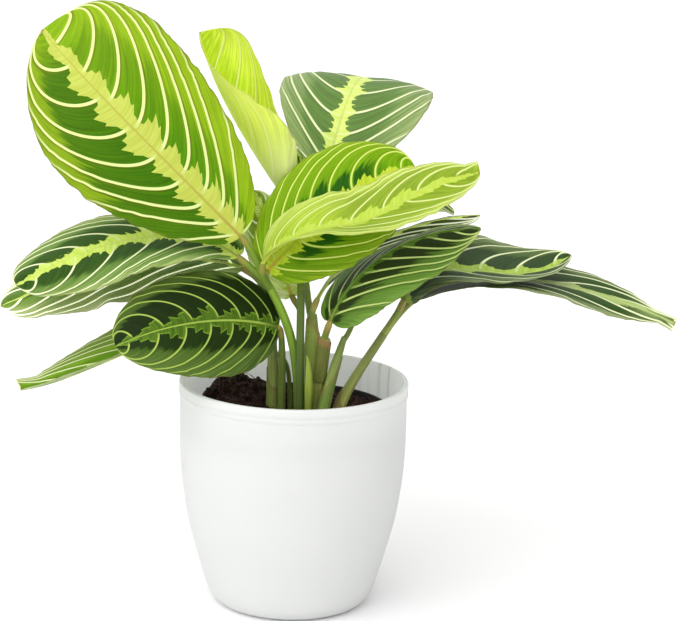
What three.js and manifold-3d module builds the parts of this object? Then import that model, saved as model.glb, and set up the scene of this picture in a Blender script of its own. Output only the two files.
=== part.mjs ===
// Prayer plant growing in a white cover pot.
// Units are millimetres and +Z is up. The origin is the centre of the cover pot's underside.
// +X is to the right and -Y is toward the viewer of the front.
import * as THREE from "three";
import Module from "manifold-3d";

const wasm = await Module();
wasm.setup();
const { Manifold } = wasm;

// Driving dimensions
const POT_HEIGHT = 130;
const RIM_RADIUS = 65;
const FOOT_RADIUS = 38.5;
const POT_WALL = 2.5;
const POT_FLOOR = 3;
const RIM_BAND = 8; // height of the plain band above the step
const RIM_STEP = 0.6; // how far the wall steps in below the band
const NURSERY_RIM_RADIUS = 56;
const NURSERY_BASE_RADIUS = 37;
const NURSERY_TOP = 113;
const NURSERY_WALL = 1.2;
const CLEARANCE = 0.3;
const SOIL_LEVEL = 110;
const SOIL_HEAP = 11;
const STEM_ROOT = 100; // height at which every stem ends inside the soil
const BLADE = 0.7; // leaf blade thickness
const RIB = 1.1; // extra depth of the midrib under a blade, at its base
const BASE_HALF = 1.8; // half width of a blade where its stalk meets it
const TIP_HALF = 0.5;
const LOBE = 7; // how far a blade's base lobes reach back
const POT_SIDES = 40;
const STEM_SIDES = 8;
const BLADE_ROWS = 12;

// Outline of the cover pot: height as a share of the whole, then radius
const POT_OUTLINE = [
  [0, FOOT_RADIUS],
  [0.02, 44.2],
  [0.05, 47],
  [0.09, 49.1],
  [0.15, 51.4],
  [0.25, 55.1],
  [0.37, 59.1],
  [0.5, 62],
  [0.65, 64],
  [0.8, 65 - RIM_STEP],
];

const v3 = (p) => new THREE.Vector3(...p);
const radians = THREE.MathUtils.degToRad;
const clamp = THREE.MathUtils.clamp;

// Colours read from the photograph, one for each kind of surface
function look(color, roughness = 0.5, metalness = 0) {
  return new THREE.MeshStandardMaterial({ color, roughness, metalness });
}

// A closed surface as plain lists: points [[x, y, z]] and triangles [[a, b, c]]
function geometryOf({ points, triangles }) {
  const geometry = new THREE.BufferGeometry();
  geometry.setAttribute("position", new THREE.Float32BufferAttribute(points.flat(), 3));
  geometry.setIndex(triangles.flat());
  geometry.computeVertexNormals();
  return geometry;
}

function manifoldOf({ points, triangles }) {
  const mesh = new wasm.Mesh({
    numProp: 3,
    vertProperties: new Float32Array(points.flat()),
    triVerts: new Uint32Array(triangles.flat()),
  });
  return new Manifold(mesh);
}

function listsOf(manifold) {
  const mesh = manifold.getMesh();
  const points = [];
  for (let i = 0; i < mesh.numVert; i++) {
    points.push(Array.from(mesh.vertProperties.slice(i * mesh.numProp, i * mesh.numProp + 3)));
  }
  const triangles = [];
  for (let i = 0; i < mesh.numTri; i++) {
    triangles.push(Array.from(mesh.triVerts.slice(i * 3, i * 3 + 3)));
  }
  return { points, triangles };
}

// A solid of revolution: the profile [[r, z]] starts and ends on the axis, outside face to the right
function revolve(profile, sides) {
  const points = [];
  const triangles = [];
  const rings = profile.map(([r, z]) => {
    const first = points.length;
    if (r === 0) {
      points.push([0, 0, z]);
      return [first, 1];
    }
    for (let i = 0; i < sides; i++) {
      const a = (2 * Math.PI * i) / sides;
      points.push([r * Math.cos(a), r * Math.sin(a), z]);
    }
    return [first, sides];
  });
  for (let k = 0; k + 1 < rings.length; k++) {
    const [a, na] = rings[k];
    const [b, nb] = rings[k + 1];
    for (let i = 0; i < sides; i++) {
      const j = (i + 1) % sides;
      if (na > 1) triangles.push([a + i, a + j, nb > 1 ? b + i : b]);
      if (nb > 1) triangles.push([na > 1 ? a + j : a, b + j, b + i]);
    }
  }
  return { points, triangles };
}

// Pots
function coverPot() {
  const outer = POT_OUTLINE.map(([share, r]) => [r, share * POT_HEIGHT]);
  const step = POT_HEIGHT - RIM_BAND;
  const inner = POT_OUTLINE.slice(2)
    .map(([share, r]) => [r - POT_WALL, share * POT_HEIGHT])
    .reverse();
  return revolve(
    [
      [0, 0],
      ...outer,
      [RIM_RADIUS - RIM_STEP, step - 1],
      [RIM_RADIUS, step],
      [RIM_RADIUS, POT_HEIGHT - 0.8],
      [RIM_RADIUS - 0.8, POT_HEIGHT],
      [RIM_RADIUS - POT_WALL + 0.6, POT_HEIGHT],
      [RIM_RADIUS - POT_WALL, POT_HEIGHT - 0.8],
      ...inner,
      [42, POT_FLOOR],
      [0, POT_FLOOR],
    ],
    POT_SIDES,
  );
}

function nurseryPot() {
  const floor = POT_FLOOR + CLEARANCE;
  return revolve(
    [
      [0, floor],
      [NURSERY_BASE_RADIUS, floor],
      [NURSERY_BASE_RADIUS + 2, floor + 3],
      [NURSERY_RIM_RADIUS - 1.6, NURSERY_TOP - 8],
      [NURSERY_RIM_RADIUS, NURSERY_TOP - 7],
      [NURSERY_RIM_RADIUS, NURSERY_TOP],
      [NURSERY_RIM_RADIUS - NURSERY_WALL, NURSERY_TOP],
      [NURSERY_RIM_RADIUS - 1.6 - NURSERY_WALL, NURSERY_TOP - 9],
      [NURSERY_BASE_RADIUS + 2 - NURSERY_WALL, floor + 4],
      [NURSERY_BASE_RADIUS - NURSERY_WALL, floor + 1.5],
      [0, floor + 1.5],
    ],
    POT_SIDES,
  );
}

// Height of the soil: a heap at the back left, lumps all over, lower at the right
function soilHeight(x, y) {
  const heap = SOIL_HEAP * Math.exp(-(((x + 36) / 26) ** 2) - ((y - 34) / 24) ** 2);
  const left = 5 * clamp(-x / 50, 0, 1) * clamp(1 - Math.abs(y) / 60, 0, 1);
  const lumps = 0.8 * Math.sin(x * 0.31 + 1) * Math.cos(y * 0.27) + 0.5 * Math.sin(x * 0.13 - y * 0.41);
  return SOIL_LEVEL + heap + left + lumps;
}

function soil(stems) {
  const sides = 36;
  const rings = 7;
  const edge = NURSERY_RIM_RADIUS - NURSERY_WALL - CLEARANCE - 1.9;
  const foot = NURSERY_BASE_RADIUS + 2 - NURSERY_WALL - CLEARANCE - 0.4;
  const base = POT_FLOOR + CLEARANCE + 4.2;
  const points = [[0, 0, soilHeight(0, 0)]];
  const triangles = [];
  for (let k = 1; k <= rings; k++) {
    for (let i = 0; i < sides; i++) {
      const a = (2 * Math.PI * i) / sides;
      const r = (edge * k) / rings;
      const [x, y] = [r * Math.cos(a), r * Math.sin(a)];
      points.push([x, y, soilHeight(x, y)]);
    }
  }
  for (let i = 0; i < sides; i++) {
    const a = (2 * Math.PI * i) / sides;
    points.push([foot * Math.cos(a), foot * Math.sin(a), base]);
  }
  points.push([0, 0, base]);
  const last = points.length - 1;
  for (let i = 0; i < sides; i++) {
    const j = (i + 1) % sides;
    triangles.push([0, 1 + i, 1 + j]);
    for (let k = 0; k < rings; k++) {
      const a = 1 + k * sides;
      const b = a + sides;
      triangles.push([a + i, b + i, b + j], [a + i, b + j, a + j]);
    }
    const c = 1 + rings * sides;
    triangles.push([last, c + j, c + i]);
  }
  const block = manifoldOf({ points, triangles });
  const holes = stems.map((stem) => manifoldOf(tube(stem, CLEARANCE)));
  return listsOf(block.subtract(Manifold.union(holes)));
}

// Smooth curve made of one cubic for every three control points after the first
function curvePiece(p, u) {
  const pieces = (p.length - 1) / 3;
  const k = Math.min(Math.floor(u * pieces), pieces - 1);
  return [p.slice(3 * k, 3 * k + 4), u * pieces - k];
}

function curvePoint(p, u) {
  const [four, local] = curvePiece(p, u);
  return new THREE.CubicBezierCurve3(...four.map(v3)).getPoint(local);
}

function curveSlope(p, whole) {
  const [four, u] = curvePiece(p, whole);
  const [a, b, c, d] = four.map(v3);
  const m = 1 - u;
  const slope = b.clone().sub(a).multiplyScalar(3 * m * m);
  slope.addScaledVector(c.clone().sub(b), 6 * m * u);
  slope.addScaledVector(d.clone().sub(c), 3 * u * u);
  return slope.normalize();
}

// A tapering round limb along a curve, closed at both ends. Radii are spaced evenly along it.
function tube({ path, radii, rings = 8 }, extra = 0) {
  const points = [];
  const triangles = [];
  const tangent0 = curveSlope(path, 0);
  const start = Math.abs(tangent0.x) < 0.9 ? v3([1, 0, 0]) : v3([0, 1, 0]);
  let side = start.addScaledVector(tangent0, -start.dot(tangent0)).normalize();
  for (let k = 0; k <= rings; k++) {
    const u = k / rings;
    const centre = curvePoint(path, u);
    const along = curveSlope(path, u);
    side = side.clone().addScaledVector(along, -side.dot(along)).normalize();
    const up = along.clone().cross(side);
    const place = u * (radii.length - 1);
    const low = Math.min(Math.floor(place), radii.length - 2);
    const radius = THREE.MathUtils.lerp(radii[low], radii[low + 1], place - low) + extra;
    if (k === 0 && extra) centre.addScaledVector(along, -extra);
    for (let i = 0; i < STEM_SIDES; i++) {
      const a = (2 * Math.PI * i) / STEM_SIDES;
      const p = centre.clone().addScaledVector(side, radius * Math.cos(a));
      points.push(p.addScaledVector(up, radius * Math.sin(a)).toArray());
    }
  }
  for (let k = 0; k < rings; k++) {
    for (let i = 0; i < STEM_SIDES; i++) {
      const a = k * STEM_SIDES + i;
      const b = k * STEM_SIDES + ((i + 1) % STEM_SIDES);
      triangles.push([a, b, b + STEM_SIDES], [a, b + STEM_SIDES, a + STEM_SIDES]);
    }
  }
  const end = rings * STEM_SIDES;
  for (let i = 1; i + 1 < STEM_SIDES; i++) {
    triangles.push([0, i + 1, i], [end, end + i, end + i + 1]);
  }
  return { points, triangles };
}

// Leaves
// A value given at the base, the middle and the tip, read at s from 0 to 1
function threeWay([base, middle, tip], s) {
  return base * (1 - s) * (1 - 2 * s) + middle * 4 * s * (1 - s) + tip * s * (2 * s - 1);
}

// Share of the full half width at s, for a half that is widest at the given place
function outline(s, { widest, full }) {
  const power = Math.log(0.5) / Math.log(widest);
  const blunt = THREE.MathUtils.lerp(full[0], full[1], s);
  return Math.sin(Math.PI * clamp(s, 0, 1) ** power) ** blunt;
}

// Curve parameter at a share s of the midrib's length
function ribParameter(rib) {
  const steps = 200;
  const lengths = [0];
  for (let i = 1; i <= steps; i++) {
    const d = curvePoint(rib, i / steps).distanceTo(curvePoint(rib, (i - 1) / steps));
    lengths.push(lengths[i - 1] + d);
  }
  return (s) => {
    const want = s * lengths[steps];
    let i = 1;
    while (i < steps && lengths[i] < want) i++;
    return (i - 1 + (want - lengths[i - 1]) / (lengths[i] - lengths[i - 1])) / steps;
  };
}

// One point of a blade's middle surface and its normal, at s along and t across from -1 to 1
function bladePoint(leaf, parameter, s, t) {
  const u = parameter(s);
  const middle = curvePoint(leaf.rib, u);
  const along = curveSlope(leaf.rib, u);
  const face = v3([0, 1, 2].map((i) => threeWay(leaf.face.map((f) => f[i]), s)));
  const normal = face.addScaledVector(along, -face.dot(along)).normalize();
  const right = along.clone().cross(normal);
  const sign = t < 0 ? -1 : 1;
  const a = Math.abs(t);
  const half = t < 0 ? leaf.left : leaf.right;
  const share = outline(s, half);
  const width = Math.max(half.width * share, THREE.MathUtils.lerp(BASE_HALF, half.tip, s));
  const rise = radians(threeWay(half.rise, s));
  let curl = radians(threeWay(half.curl, s));
  if (Math.abs(curl) < 1e-4) curl = 1e-4;
  const angle = rise + curl * a;
  const lateral = (width * (Math.sin(angle) - Math.sin(rise))) / curl;
  const lift = (width * (Math.cos(rise) - Math.cos(angle))) / curl;
  const facing = normal.clone().multiplyScalar(Math.cos(angle));
  facing.addScaledVector(right, -sign * Math.sin(angle));
  const point = middle.addScaledVector(right, sign * lateral).addScaledVector(normal, lift);
  const [height, waves, phase] = leaf.ruffle ?? [0, 0, 0];
  const turn = 2 * Math.PI * (waves * s + phase + (sign > 0 ? 0.5 : 0));
  point.addScaledVector(facing, height * a * a * Math.sin(turn) * share);
  point.addScaledVector(along, -LOBE * share * a ** 1.5 * (1 - s) ** 5);
  return { point, facing };
}

// A blade of even thickness with a ridge under the midrib, alike on both faces
function blade(leaf) {
  const across = leaf.across ?? [0, 0.1, 0.4, 0.72, 1];
  const columns = [...across.slice(1).map((t) => -t).reverse(), ...across];
  const parameter = ribParameter(leaf.rib);
  const rows = leaf.rows ?? BLADE_ROWS;
  const n = columns.length;
  const top = [];
  const under = [];
  for (let i = 0; i <= rows; i++) {
    const s = (0.35 * i) / rows + (0.65 * (1 - Math.cos((Math.PI * i) / rows))) / 2;
    for (const t of columns) {
      const { point, facing } = bladePoint(leaf, parameter, s, t);
      const ridge = t === 0 ? RIB * (1 - 0.85 * s) : 0;
      top.push(point.clone().addScaledVector(facing, BLADE / 2).toArray());
      under.push(point.clone().addScaledVector(facing, -BLADE / 2 - ridge).toArray());
    }
  }
  const triangles = [];
  const m = top.length;
  for (let i = 0; i < rows; i++) {
    for (let j = 0; j + 1 < n; j++) {
      const a = i * n + j;
      const b = a + n;
      triangles.push([a, a + 1, b + 1], [a, b + 1, b]);
      triangles.push([m + a, m + b + 1, m + a + 1], [m + a, m + b, m + b + 1]);
    }
    const [l, r] = [i * n, i * n + n - 1];
    triangles.push([l, l + n, m + l + n], [l, m + l + n, m + l]);
    triangles.push([r, m + r, m + r + n], [r, m + r + n, r + n]);
  }
  for (let j = 0; j + 1 < n; j++) {
    const e = rows * n + j;
    triangles.push([j, m + j, m + j + 1], [j, m + j + 1, j + 1]);
    triangles.push([e, e + 1, m + e + 1], [e, m + e + 1, m + e]);
  }
  return { points: [...top, ...under], triangles };
}

// One half of a blade: its width, where it is widest, how blunt it is or how blunt at its base
// and at its tip, its rise from the midrib and its curl in degrees at the base, middle and tip,
// and the half width it keeps at the very tip
function half(width, widest, full, rise = [0, 0, 0], curl = [0, 0, 0], tip = TIP_HALF) {
  return { width, widest, full: [full].flat().length === 2 ? full : [full, full], rise, curl, tip };
}

const even = (face) => [face, face, face];

const LEAVES = {
  leaf_great: {
    rib: [[-31, -14, 215], [-69, -26, 256], [-113, -28, 298], [-141, -6, 326]],
    face: [[0.1, -0.95, 0.3], [0.05, -1, 0.2], [0, -0.95, 0.2]],
    left: half(46, 0.57, [0.53, 0.62], [12, 10, 2], [0, -10, -20]),
    right: half(50, 0.66, [0.28, 0.22], [6, 4, 2], [-5, -15, -25]),
    color: 0x5fae14,
  },
  leaf_rolled: {
    rib: [[-3, 16, 226], [-20, 17, 250], [-49, 16, 290], [-56, 16, 324]],
    face: even([1, 0, 0]),
    left: half(34, 0.42, [1.1, 0.7], [0, 0, 0], [190, 95, -20]),
    right: half(41, 0.62, [0.28, 0.24], [0, 0, 0], [200, 198, 135]),
    across: [0, 0.08, 0.24, 0.4, 0.55, 0.7, 0.85, 1],
    color: 0xbfe03c,
  },
  leaf_back: {
    rib: [[14, 14, 242], [22, 38, 261], [32, 72, 315], [46, 130, 275]],
    face: [[0.02, -0.7, 0.7], [0.05, -0.2, 1], [0, 0.3, 1]],
    left: half(43, 0.58, [0.62, 0.5], [10, 8, 6], [-12, -18, -16]),
    right: half(46, 0.57, [0.55, 0.4], [4, 3, 3], [-8, -18, -18]),
    color: 0x4f7a45,
  },
  leaf_centre: {
    rib: [[-16, -12, 195], [-3, -12, 212], [29, -6, 243], [65, 4, 253]],
    face: even([-0.1, -0.9, 0.4]),
    left: half(33, 0.5, 0.5, [4, 4, 4], [-10, -10, -10]),
    right: half(33, 0.5, 0.5, [4, 4, 4], [-10, -10, -10]),
    color: 0x6fb81f,
  },
  leaf_lime: {
    rib: [
      [-18.3, -20, 201], [-14.6, -25, 212.3], [4.4, -33, 223.9], [24.5, -37, 227.3],
      [48.2, -42, 230.5], [63.3, -41, 252.6], [98.6, -36, 257.3],
    ],
    face: [[0, 0, 1], [0, -0.05, 1], [0, -0.55, 0.8]],
    left: half(23, 0.39, [0.48, 0.6], [50, 44, 20], [0, 0, 0], 7),
    right: half(21, 0.6, 0.6, [-2, -8, -22]),
    rows: 14,
    color: 0xc4e04a,
  },
  leaf_left_upper: {
    rib: [[-32.5, -8, 202], [-59.7, 0, 222], [-112, -8, 212.4], [-152.9, -30, 188.1]],
    face: even([0, -0.3, 0.95]),
    left: half(34, 0.56, [0.5, 0.45], [8, 0, -4], [-10, -10, -14], 1.5),
    right: half(31, 0.5, [0.45, 0.4], [8, 4, 0], [-5, -5, -5], 1.5),
    color: 0x3f7a35,
  },
  leaf_left_lower: {
    rib: [[-29.9, 4, 192.5], [-60.2, 14, 203], [-116.7, 14, 190.3], [-165.5, 0, 169.4]],
    face: even([0, -0.2, 0.97]),
    left: half(34, 0.55, 0.45, [-2, -6, -6], [-6, -8, -6], 3.5),
    right: half(34, 0.55, [0.4, 0.5], [0, 0, 0], [0, 0, 0], 3.5),
    ruffle: [1.4, 4, 0],
    color: 0x4d8440,
  },
  leaf_left_low: {
    rib: [[-14, 9, 144.4], [-59.5, 3, 177.1], [-108.8, -14, 131.2], [-150.5, -36, 130.7]],
    face: even([0, 0, 1]),
    left: half(12, 0.5, 0.4, [28, 28, 28]),
    right: half(27, 0.42, [0.45, 0.7], [15, 17, 25], [-4, -4, -4], 10),
    color: 0x6fae3a,
  },
  leaf_front: {
    rib: [[-9, -8, 162], [-33, -30, 175], [-68, -48, 175], [-97, -54, 161]],
    face: [[-0.1, -0.85, 0.45], [-0.1, -0.85, 0.45], [-0.2, -0.8, 0.5]],
    left: half(32, 0.48, 0.5, [4, 4, 4], [-20, -20, -20]),
    right: half(31, 0.48, 0.42, [4, 4, 4], [-20, -20, -20]),
    color: 0x2c5a22,
  },
  leaf_right_front: {
    rib: [[19.4, -18, 168.2], [27.2, -17, 193.2], [57, -14, 223.8], [102, -12, 221.5]],
    face: even([-0.45, -0.4, 0.8]),
    left: half(25, 0.5, 0.45, [10, -27, -24]),
    right: half(30, 0.5, [0.42, 0.66], [-18, -18, -18], [-8, -8, -8]),
    color: 0x3b6e2a,
  },
  leaf_right_fold: {
    rib: [[12.1, -2, 176.8], [23.6, 16, 198.4], [59, 36, 217.1], [104.8, 36, 219.7]],
    face: even([-0.3, -0.04, 0.95]),
    left: half(13, 0.6, [0.8, 0.6], [-6, -10, -10]),
    right: half(18, 0.6, [0.9, 0.45], [0, -14, -16]),
    color: 0x5d7d55,
  },
  leaf_right_upper: {
    rib: [[61.3, 6, 175.9], [75, 10, 215.2], [125.4, 18, 172], [157, 26, 199.5]],
    face: even([0, 0, 1]),
    left: half(45, 0.43, 0.5, [16, 16, 12]),
    right: half(28, 0.45, 0.5, [-12, 0, 9]),
    color: 0x3f6b3a,
  },
  leaf_right_far: {
    rib: [[68, 16, 174.2], [104.8, 24, 198.9], [178.7, 22, 180.3], [216.9, 14, 163]],
    face: even([0, -0.12, 1]),
    left: half(38, 0.4, [0.6, 1.4], [0, 0, 18], [0, 0, 0], 5),
    right: half(27, 0.45, [0.7, 0.9], [4, 4, -34], [0, 0, 0], 5.5),
    color: 0x4f7a45,
  },
  leaf_behind_right: {
    rib: [[42, 42, 206], [53, 44, 226], [74, 48, 234], [91, 52, 218]],
    face: even([0, -0.2, 0.98]),
    left: half(15, 0.55, 0.5),
    right: half(17, 0.6, 0.4),
    rows: 9,
    color: 0xa9c98a,
  },
  leaf_behind_small: {
    rib: [[11, 30, 225], [8, 32, 236], [4, 34, 247], [1, 36, 258]],
    face: even([0, -0.9, 0.3]),
    left: half(7, 0.5, 0.5),
    right: half(7, 0.5, 0.5),
    across: [0, 0.25, 1],
    rows: 8,
    color: 0x3f6b3a,
  },
  leaf_behind_lime: {
    rib: [[-2, 5, 177], [-10, 13, 196], [-18, 20, 215], [-25, 28, 233]],
    face: even([0, -0.9, 0.3]),
    left: half(16, 0.5, 0.5),
    right: half(14, 0.5, 0.5),
    across: [0, 0.15, 0.55, 1],
    rows: 9,
    color: 0xc8e070,
  },
};

// Stems
// A leaf stalk that leaves from a point in a direction and ends just short of its blade
function stalk(leafName, from, leave, radii, reach = 14, rings = 8) {
  const rib = LEAVES[leafName].rib;
  const along = curveSlope(rib, 0);
  const end = v3(rib[0]).addScaledVector(along, -CLEARANCE);
  const arrive = end.clone().addScaledVector(along, -reach);
  return { path: [from, leave, arrive.toArray(), end.toArray()], radii, rings };
}

const limb = (path, radii, rings = 8) => ({ path, radii, rings });

const STEMS = {
  stem_front: [
    limb([[3, -4, STEM_ROOT], [3, -4, 146], [-2, -8, 164], [-17, -12, 190]], [2.9, 2.7, 2.5, 2.5, 2.2]),
    stalk("leaf_great", [-15, -12, 186], [-20, -14, 196], [2.2, 1.8, 1.9, 1.5], 9, 6),
    stalk("leaf_left_upper", [-14, -11, 184], [-18, -12, 192], [2, 1.8, 1.9, 1.5], 6, 6),
    stalk("leaf_centre", [-14, -11, 184], [-18, -12, 190], [2, 1.6, 1.5], 3, 5),
    stalk("leaf_lime", [-15, -12, 186], [-19, -15, 191], [2, 1.6, 1.5], 4, 5),
  ],
  stem_tall: [
    limb([[4, -13, STEM_ROOT], [3, -14, 140], [3, -10, 160], [3, -5, 189]], [2.6, 2.5, 2.3, 2.2]),
    stalk("leaf_back", [3, -6, 184], [3, -2, 208], [2.2, 1.8, 1.8, 1.5], 16),
    stalk("leaf_behind_lime", [3, -7, 168], [3, -3, 173], [1.8, 1.5, 1.5], 5, 5),
  ],
  stem_sheathed: [
    limb([[11, 2, STEM_ROOT], [10.5, 2, 130], [10.4, 1, 150], [9.5, 0, 168]], [3.7, 4.2, 4.4, 2.8]),
    stalk("leaf_right_fold", [9.5, 0, 165], [9, -2, 169], [2.2, 1.8, 1.5], 7, 6),
    stalk("leaf_rolled", [9.6, 0, 164], [4.5, 4, 180], [2.2, 1.9, 1.8, 1.5], 14),
    stalk("leaf_behind_small", [3, 11.3, 203], [6, 16, 207], [1.6, 1.3, 1.2], 7, 5),
  ],
  stem_stub: [
    limb([[13, -8, STEM_ROOT], [13, -8, 125], [15, -9, 140], [16.5, -11, 157]], [3, 3.2, 3.5, 3.6], 6),
    stalk("leaf_right_front", [16, -11, 152], [17, -12, 160], [2.2, 1.9, 1.5], 5, 5),
  ],
  stem_right_inner: [
    limb([[14.5, -19, STEM_ROOT], [16, -17, 120], [23, -9, 142], [28, -3, 156]], [2.8, 3.2, 2.8, 1.7]),
    stalk("leaf_behind_right", [27.5, -4, 154], [41, 12, 170], [1.6, 1.5, 1.5, 1.3], 16, 9),
  ],
  stem_right: [
    limb([[23, -3, STEM_ROOT], [24, -3, 118], [36, 0, 134], [50, 3, 156]], [3.3, 3.3, 2.7, 2.4]),
    stalk("leaf_right_upper", [49, 3, 154.5], [54, 4, 162], [2.4, 2.1, 1.6], 7, 6),
    stalk("leaf_right_far", [49, 3, 154.5], [55, 7, 163], [2.2, 1.9, 1.5], 6, 6),
  ],
  stem_left: [
    limb([[-12, 2, STEM_ROOT], [-12, 2, 125], [-12, 2, 140], [-13, 2, 160]], [3.4, 3.3, 3, 2.2]),
    stalk("leaf_left_lower", [-12.8, 2, 157], [-14, 2, 180], [2.1, 1.7, 1.9, 1.5], 12),
  ],
  stem_left_dark: [
    stalk("leaf_front", [-6.9, -2.8, STEM_ROOT], [-7.2, -2.8, 145], [2.5, 2.4, 2, 1.6, 1.5], 4, 10),
  ],
  stem_left_thin: [
    stalk("leaf_left_low", [-2, 3.5, STEM_ROOT], [-2, 4, 145], [1.5, 1.4, 1.3, 1.3, 1.5], 12, 10),
  ],
  young_shoot: [
    limb([[8, -18, STEM_ROOT], [8, -18, 125], [9.3, -18.5, 138], [6.8, -18, 149]], [1.9, 2, 2.5, 1.8, 0.4], 9),
  ],
};

function joined(limbs) {
  if (limbs.length === 1) return tube(limbs[0]);
  return listsOf(Manifold.union(limbs.map((l) => manifoldOf(tube(l)))));
}

const STEM_COLORS = {
  young_shoot: 0xb4cf5a,
  stem_left: 0x9aae62,
  stem_left_dark: 0x33421f,
  stem_left_thin: 0x3a3f2a,
};

// Assembly
const plant = new THREE.Group();
plant.name = "potted_prayer_plant";

function add(name, lists, material) {
  const mesh = new THREE.Mesh(geometryOf(lists), material);
  mesh.name = name;
  plant.add(mesh);
}

add("cover_pot", coverPot(), look(0xf3f4f3, 0.45));
add("nursery_pot", nurseryPot(), look(0x17181a, 0.5));
add("soil", soil(Object.values(STEMS).map((limbs) => limbs[0])), look(0x2c1a12, 0.95));
for (const [name, limbs] of Object.entries(STEMS)) {
  add(name, joined(limbs), look(STEM_COLORS[name] ?? 0x6f8f36, 0.5));
}
for (const [name, leaf] of Object.entries(LEAVES)) {
  add(name, blade(leaf), look(leaf.color, 0.4));
}

export default plant;
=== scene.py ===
"""Looks of a potted prayer plant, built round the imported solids. Metres, +Z up."""

import math

import bmesh
import bpy
import numpy as np
from mathutils import Matrix, Vector


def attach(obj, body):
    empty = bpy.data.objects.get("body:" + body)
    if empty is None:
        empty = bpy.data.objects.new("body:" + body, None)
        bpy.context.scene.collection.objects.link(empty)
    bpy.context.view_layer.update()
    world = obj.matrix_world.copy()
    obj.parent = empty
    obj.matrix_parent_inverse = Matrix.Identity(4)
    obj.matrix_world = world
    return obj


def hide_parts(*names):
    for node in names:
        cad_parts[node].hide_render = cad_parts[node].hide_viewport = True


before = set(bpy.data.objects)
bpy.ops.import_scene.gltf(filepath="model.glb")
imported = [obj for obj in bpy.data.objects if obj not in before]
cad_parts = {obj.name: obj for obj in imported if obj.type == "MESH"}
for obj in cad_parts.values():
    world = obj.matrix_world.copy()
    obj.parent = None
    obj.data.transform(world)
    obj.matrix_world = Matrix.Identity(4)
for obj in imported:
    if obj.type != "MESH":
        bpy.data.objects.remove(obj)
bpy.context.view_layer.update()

MM = 0.001
LATTICE = 64  # cells after which the noise repeats


# Small maths


def unit(v):
    return v / np.linalg.norm(v, axis=-1, keepdims=True)


def smooth(x, low, high):
    x = np.clip((x - low) / (high - low), 0, 1)
    return x * x * (3 - 2 * x)


def ring_angles(sides):
    return 2 * np.pi * np.arange(sides) / sides


def curve_piece(points, u):
    """The four control points that rule each u, and u within that piece of the curve."""
    p, u = np.asarray(points, float), np.asarray(u, float)
    pieces = (len(p) - 1) // 3
    k = np.clip((u * pieces).astype(int), 0, pieces - 1)
    return [p[3 * k + i] for i in range(4)], (u * pieces - k)[:, None]


def bezier(points, u):
    """Points of a curve made of one cubic for every three control points after the first."""
    (a, b, c, d), u = curve_piece(points, u)
    m = 1 - u
    return a * m**3 + 3 * b * m * m * u + 3 * c * m * u * u + d * u**3


def bezier_slope(points, u):
    (a, b, c, d), u = curve_piece(points, u)
    m = 1 - u
    return unit((b - a) * m * m + 2 * (c - b) * m * u + (d - c) * u * u)


def lengths_along(points, steps=200):
    u = np.linspace(0, 1, steps + 1)
    gaps = np.linalg.norm(np.diff(bezier(points, u), axis=0), axis=1)
    return u, np.concatenate([[0], np.cumsum(gaps)])


def evenly(points, s):
    """Curve parameter at each share s of the curve's length, and that length."""
    u, run = lengths_along(points)
    return np.interp(np.asarray(s) * run[-1], run, u), run[-1]


def three_way(values, s):
    """A value given at the base, the middle and the tip, read at s."""
    a, b, c = [np.asarray(v, float) for v in values]
    s = s[:, None] if a.ndim else s
    return a * (1 - s) * (1 - 2 * s) + b * 4 * s * (1 - s) + c * s * (2 * s - 1)


def lattice_noise(x, y, seed):
    """Smooth noise from -1 to 1 on a unit lattice."""
    table = np.random.RandomState(seed).uniform(-1, 1, (LATTICE, LATTICE))
    i, j = np.floor(x).astype(int), np.floor(y).astype(int)
    u, v = smooth(x - i, 0, 1), smooth(y - j, 0, 1)
    a, b, c, d = [table[(i + di) % LATTICE, (j + dj) % LATTICE] for dj in (0, 1) for di in (0, 1)]
    return (a * (1 - u) + b * u) * (1 - v) + (c * (1 - u) + d * u) * v


# Meshes, with their points in mm


def linked(name, data):
    """A new object in the scene."""
    obj = bpy.data.objects.new(name, data)
    bpy.context.scene.collection.objects.link(obj)
    return obj


def new_mesh(name, points, faces, materials=(), indexes=None):
    mesh = bpy.data.meshes.new(name)
    mesh.from_pydata((np.asarray(points) * MM).tolist(), [], [tuple(f) for f in faces])
    for material in materials:
        mesh.materials.append(material)
    if indexes is not None:
        mesh.polygons.foreach_set("material_index", np.asarray(indexes, np.int32))
    mesh.polygons.foreach_set("use_smooth", np.ones(len(mesh.polygons), bool))
    mesh.update()
    return mesh


def new_object(name, points, faces, materials, indexes=None):
    obj = linked(name, new_mesh(name, points, faces, materials, indexes))
    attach(obj, "root")
    return obj


def add_attribute(mesh, name, values, domain):
    attribute = mesh.attributes.new(name, "FLOAT_VECTOR", domain)
    attribute.data.foreach_set("vector", np.asarray(values, np.float32).ravel())


def band(a, b, sides, inward=False):
    """Faces between two rings of points, whose first points are numbers a and b."""
    turns = [(i, (i + 1) % sides) for i in range(sides)]
    if inward:
        return [(a + i, b + i, b + j, a + j) for i, j in turns]
    return [(a + i, a + j, b + j, b + i) for i, j in turns]


def fan(centre, ring, sides):
    """Faces between a ring and its middle point."""
    return [(centre, ring + (i + 1) % sides, ring + i) for i in range(sides)]


def joined(parts):
    """The points and faces of several meshes as one."""
    points, faces, base = [], [], 0
    for p, f in parts:
        points.append(p)
        faces += [tuple(base + i for i in face) for face in f]
        base += len(p)
    return np.concatenate(points), faces


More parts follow.
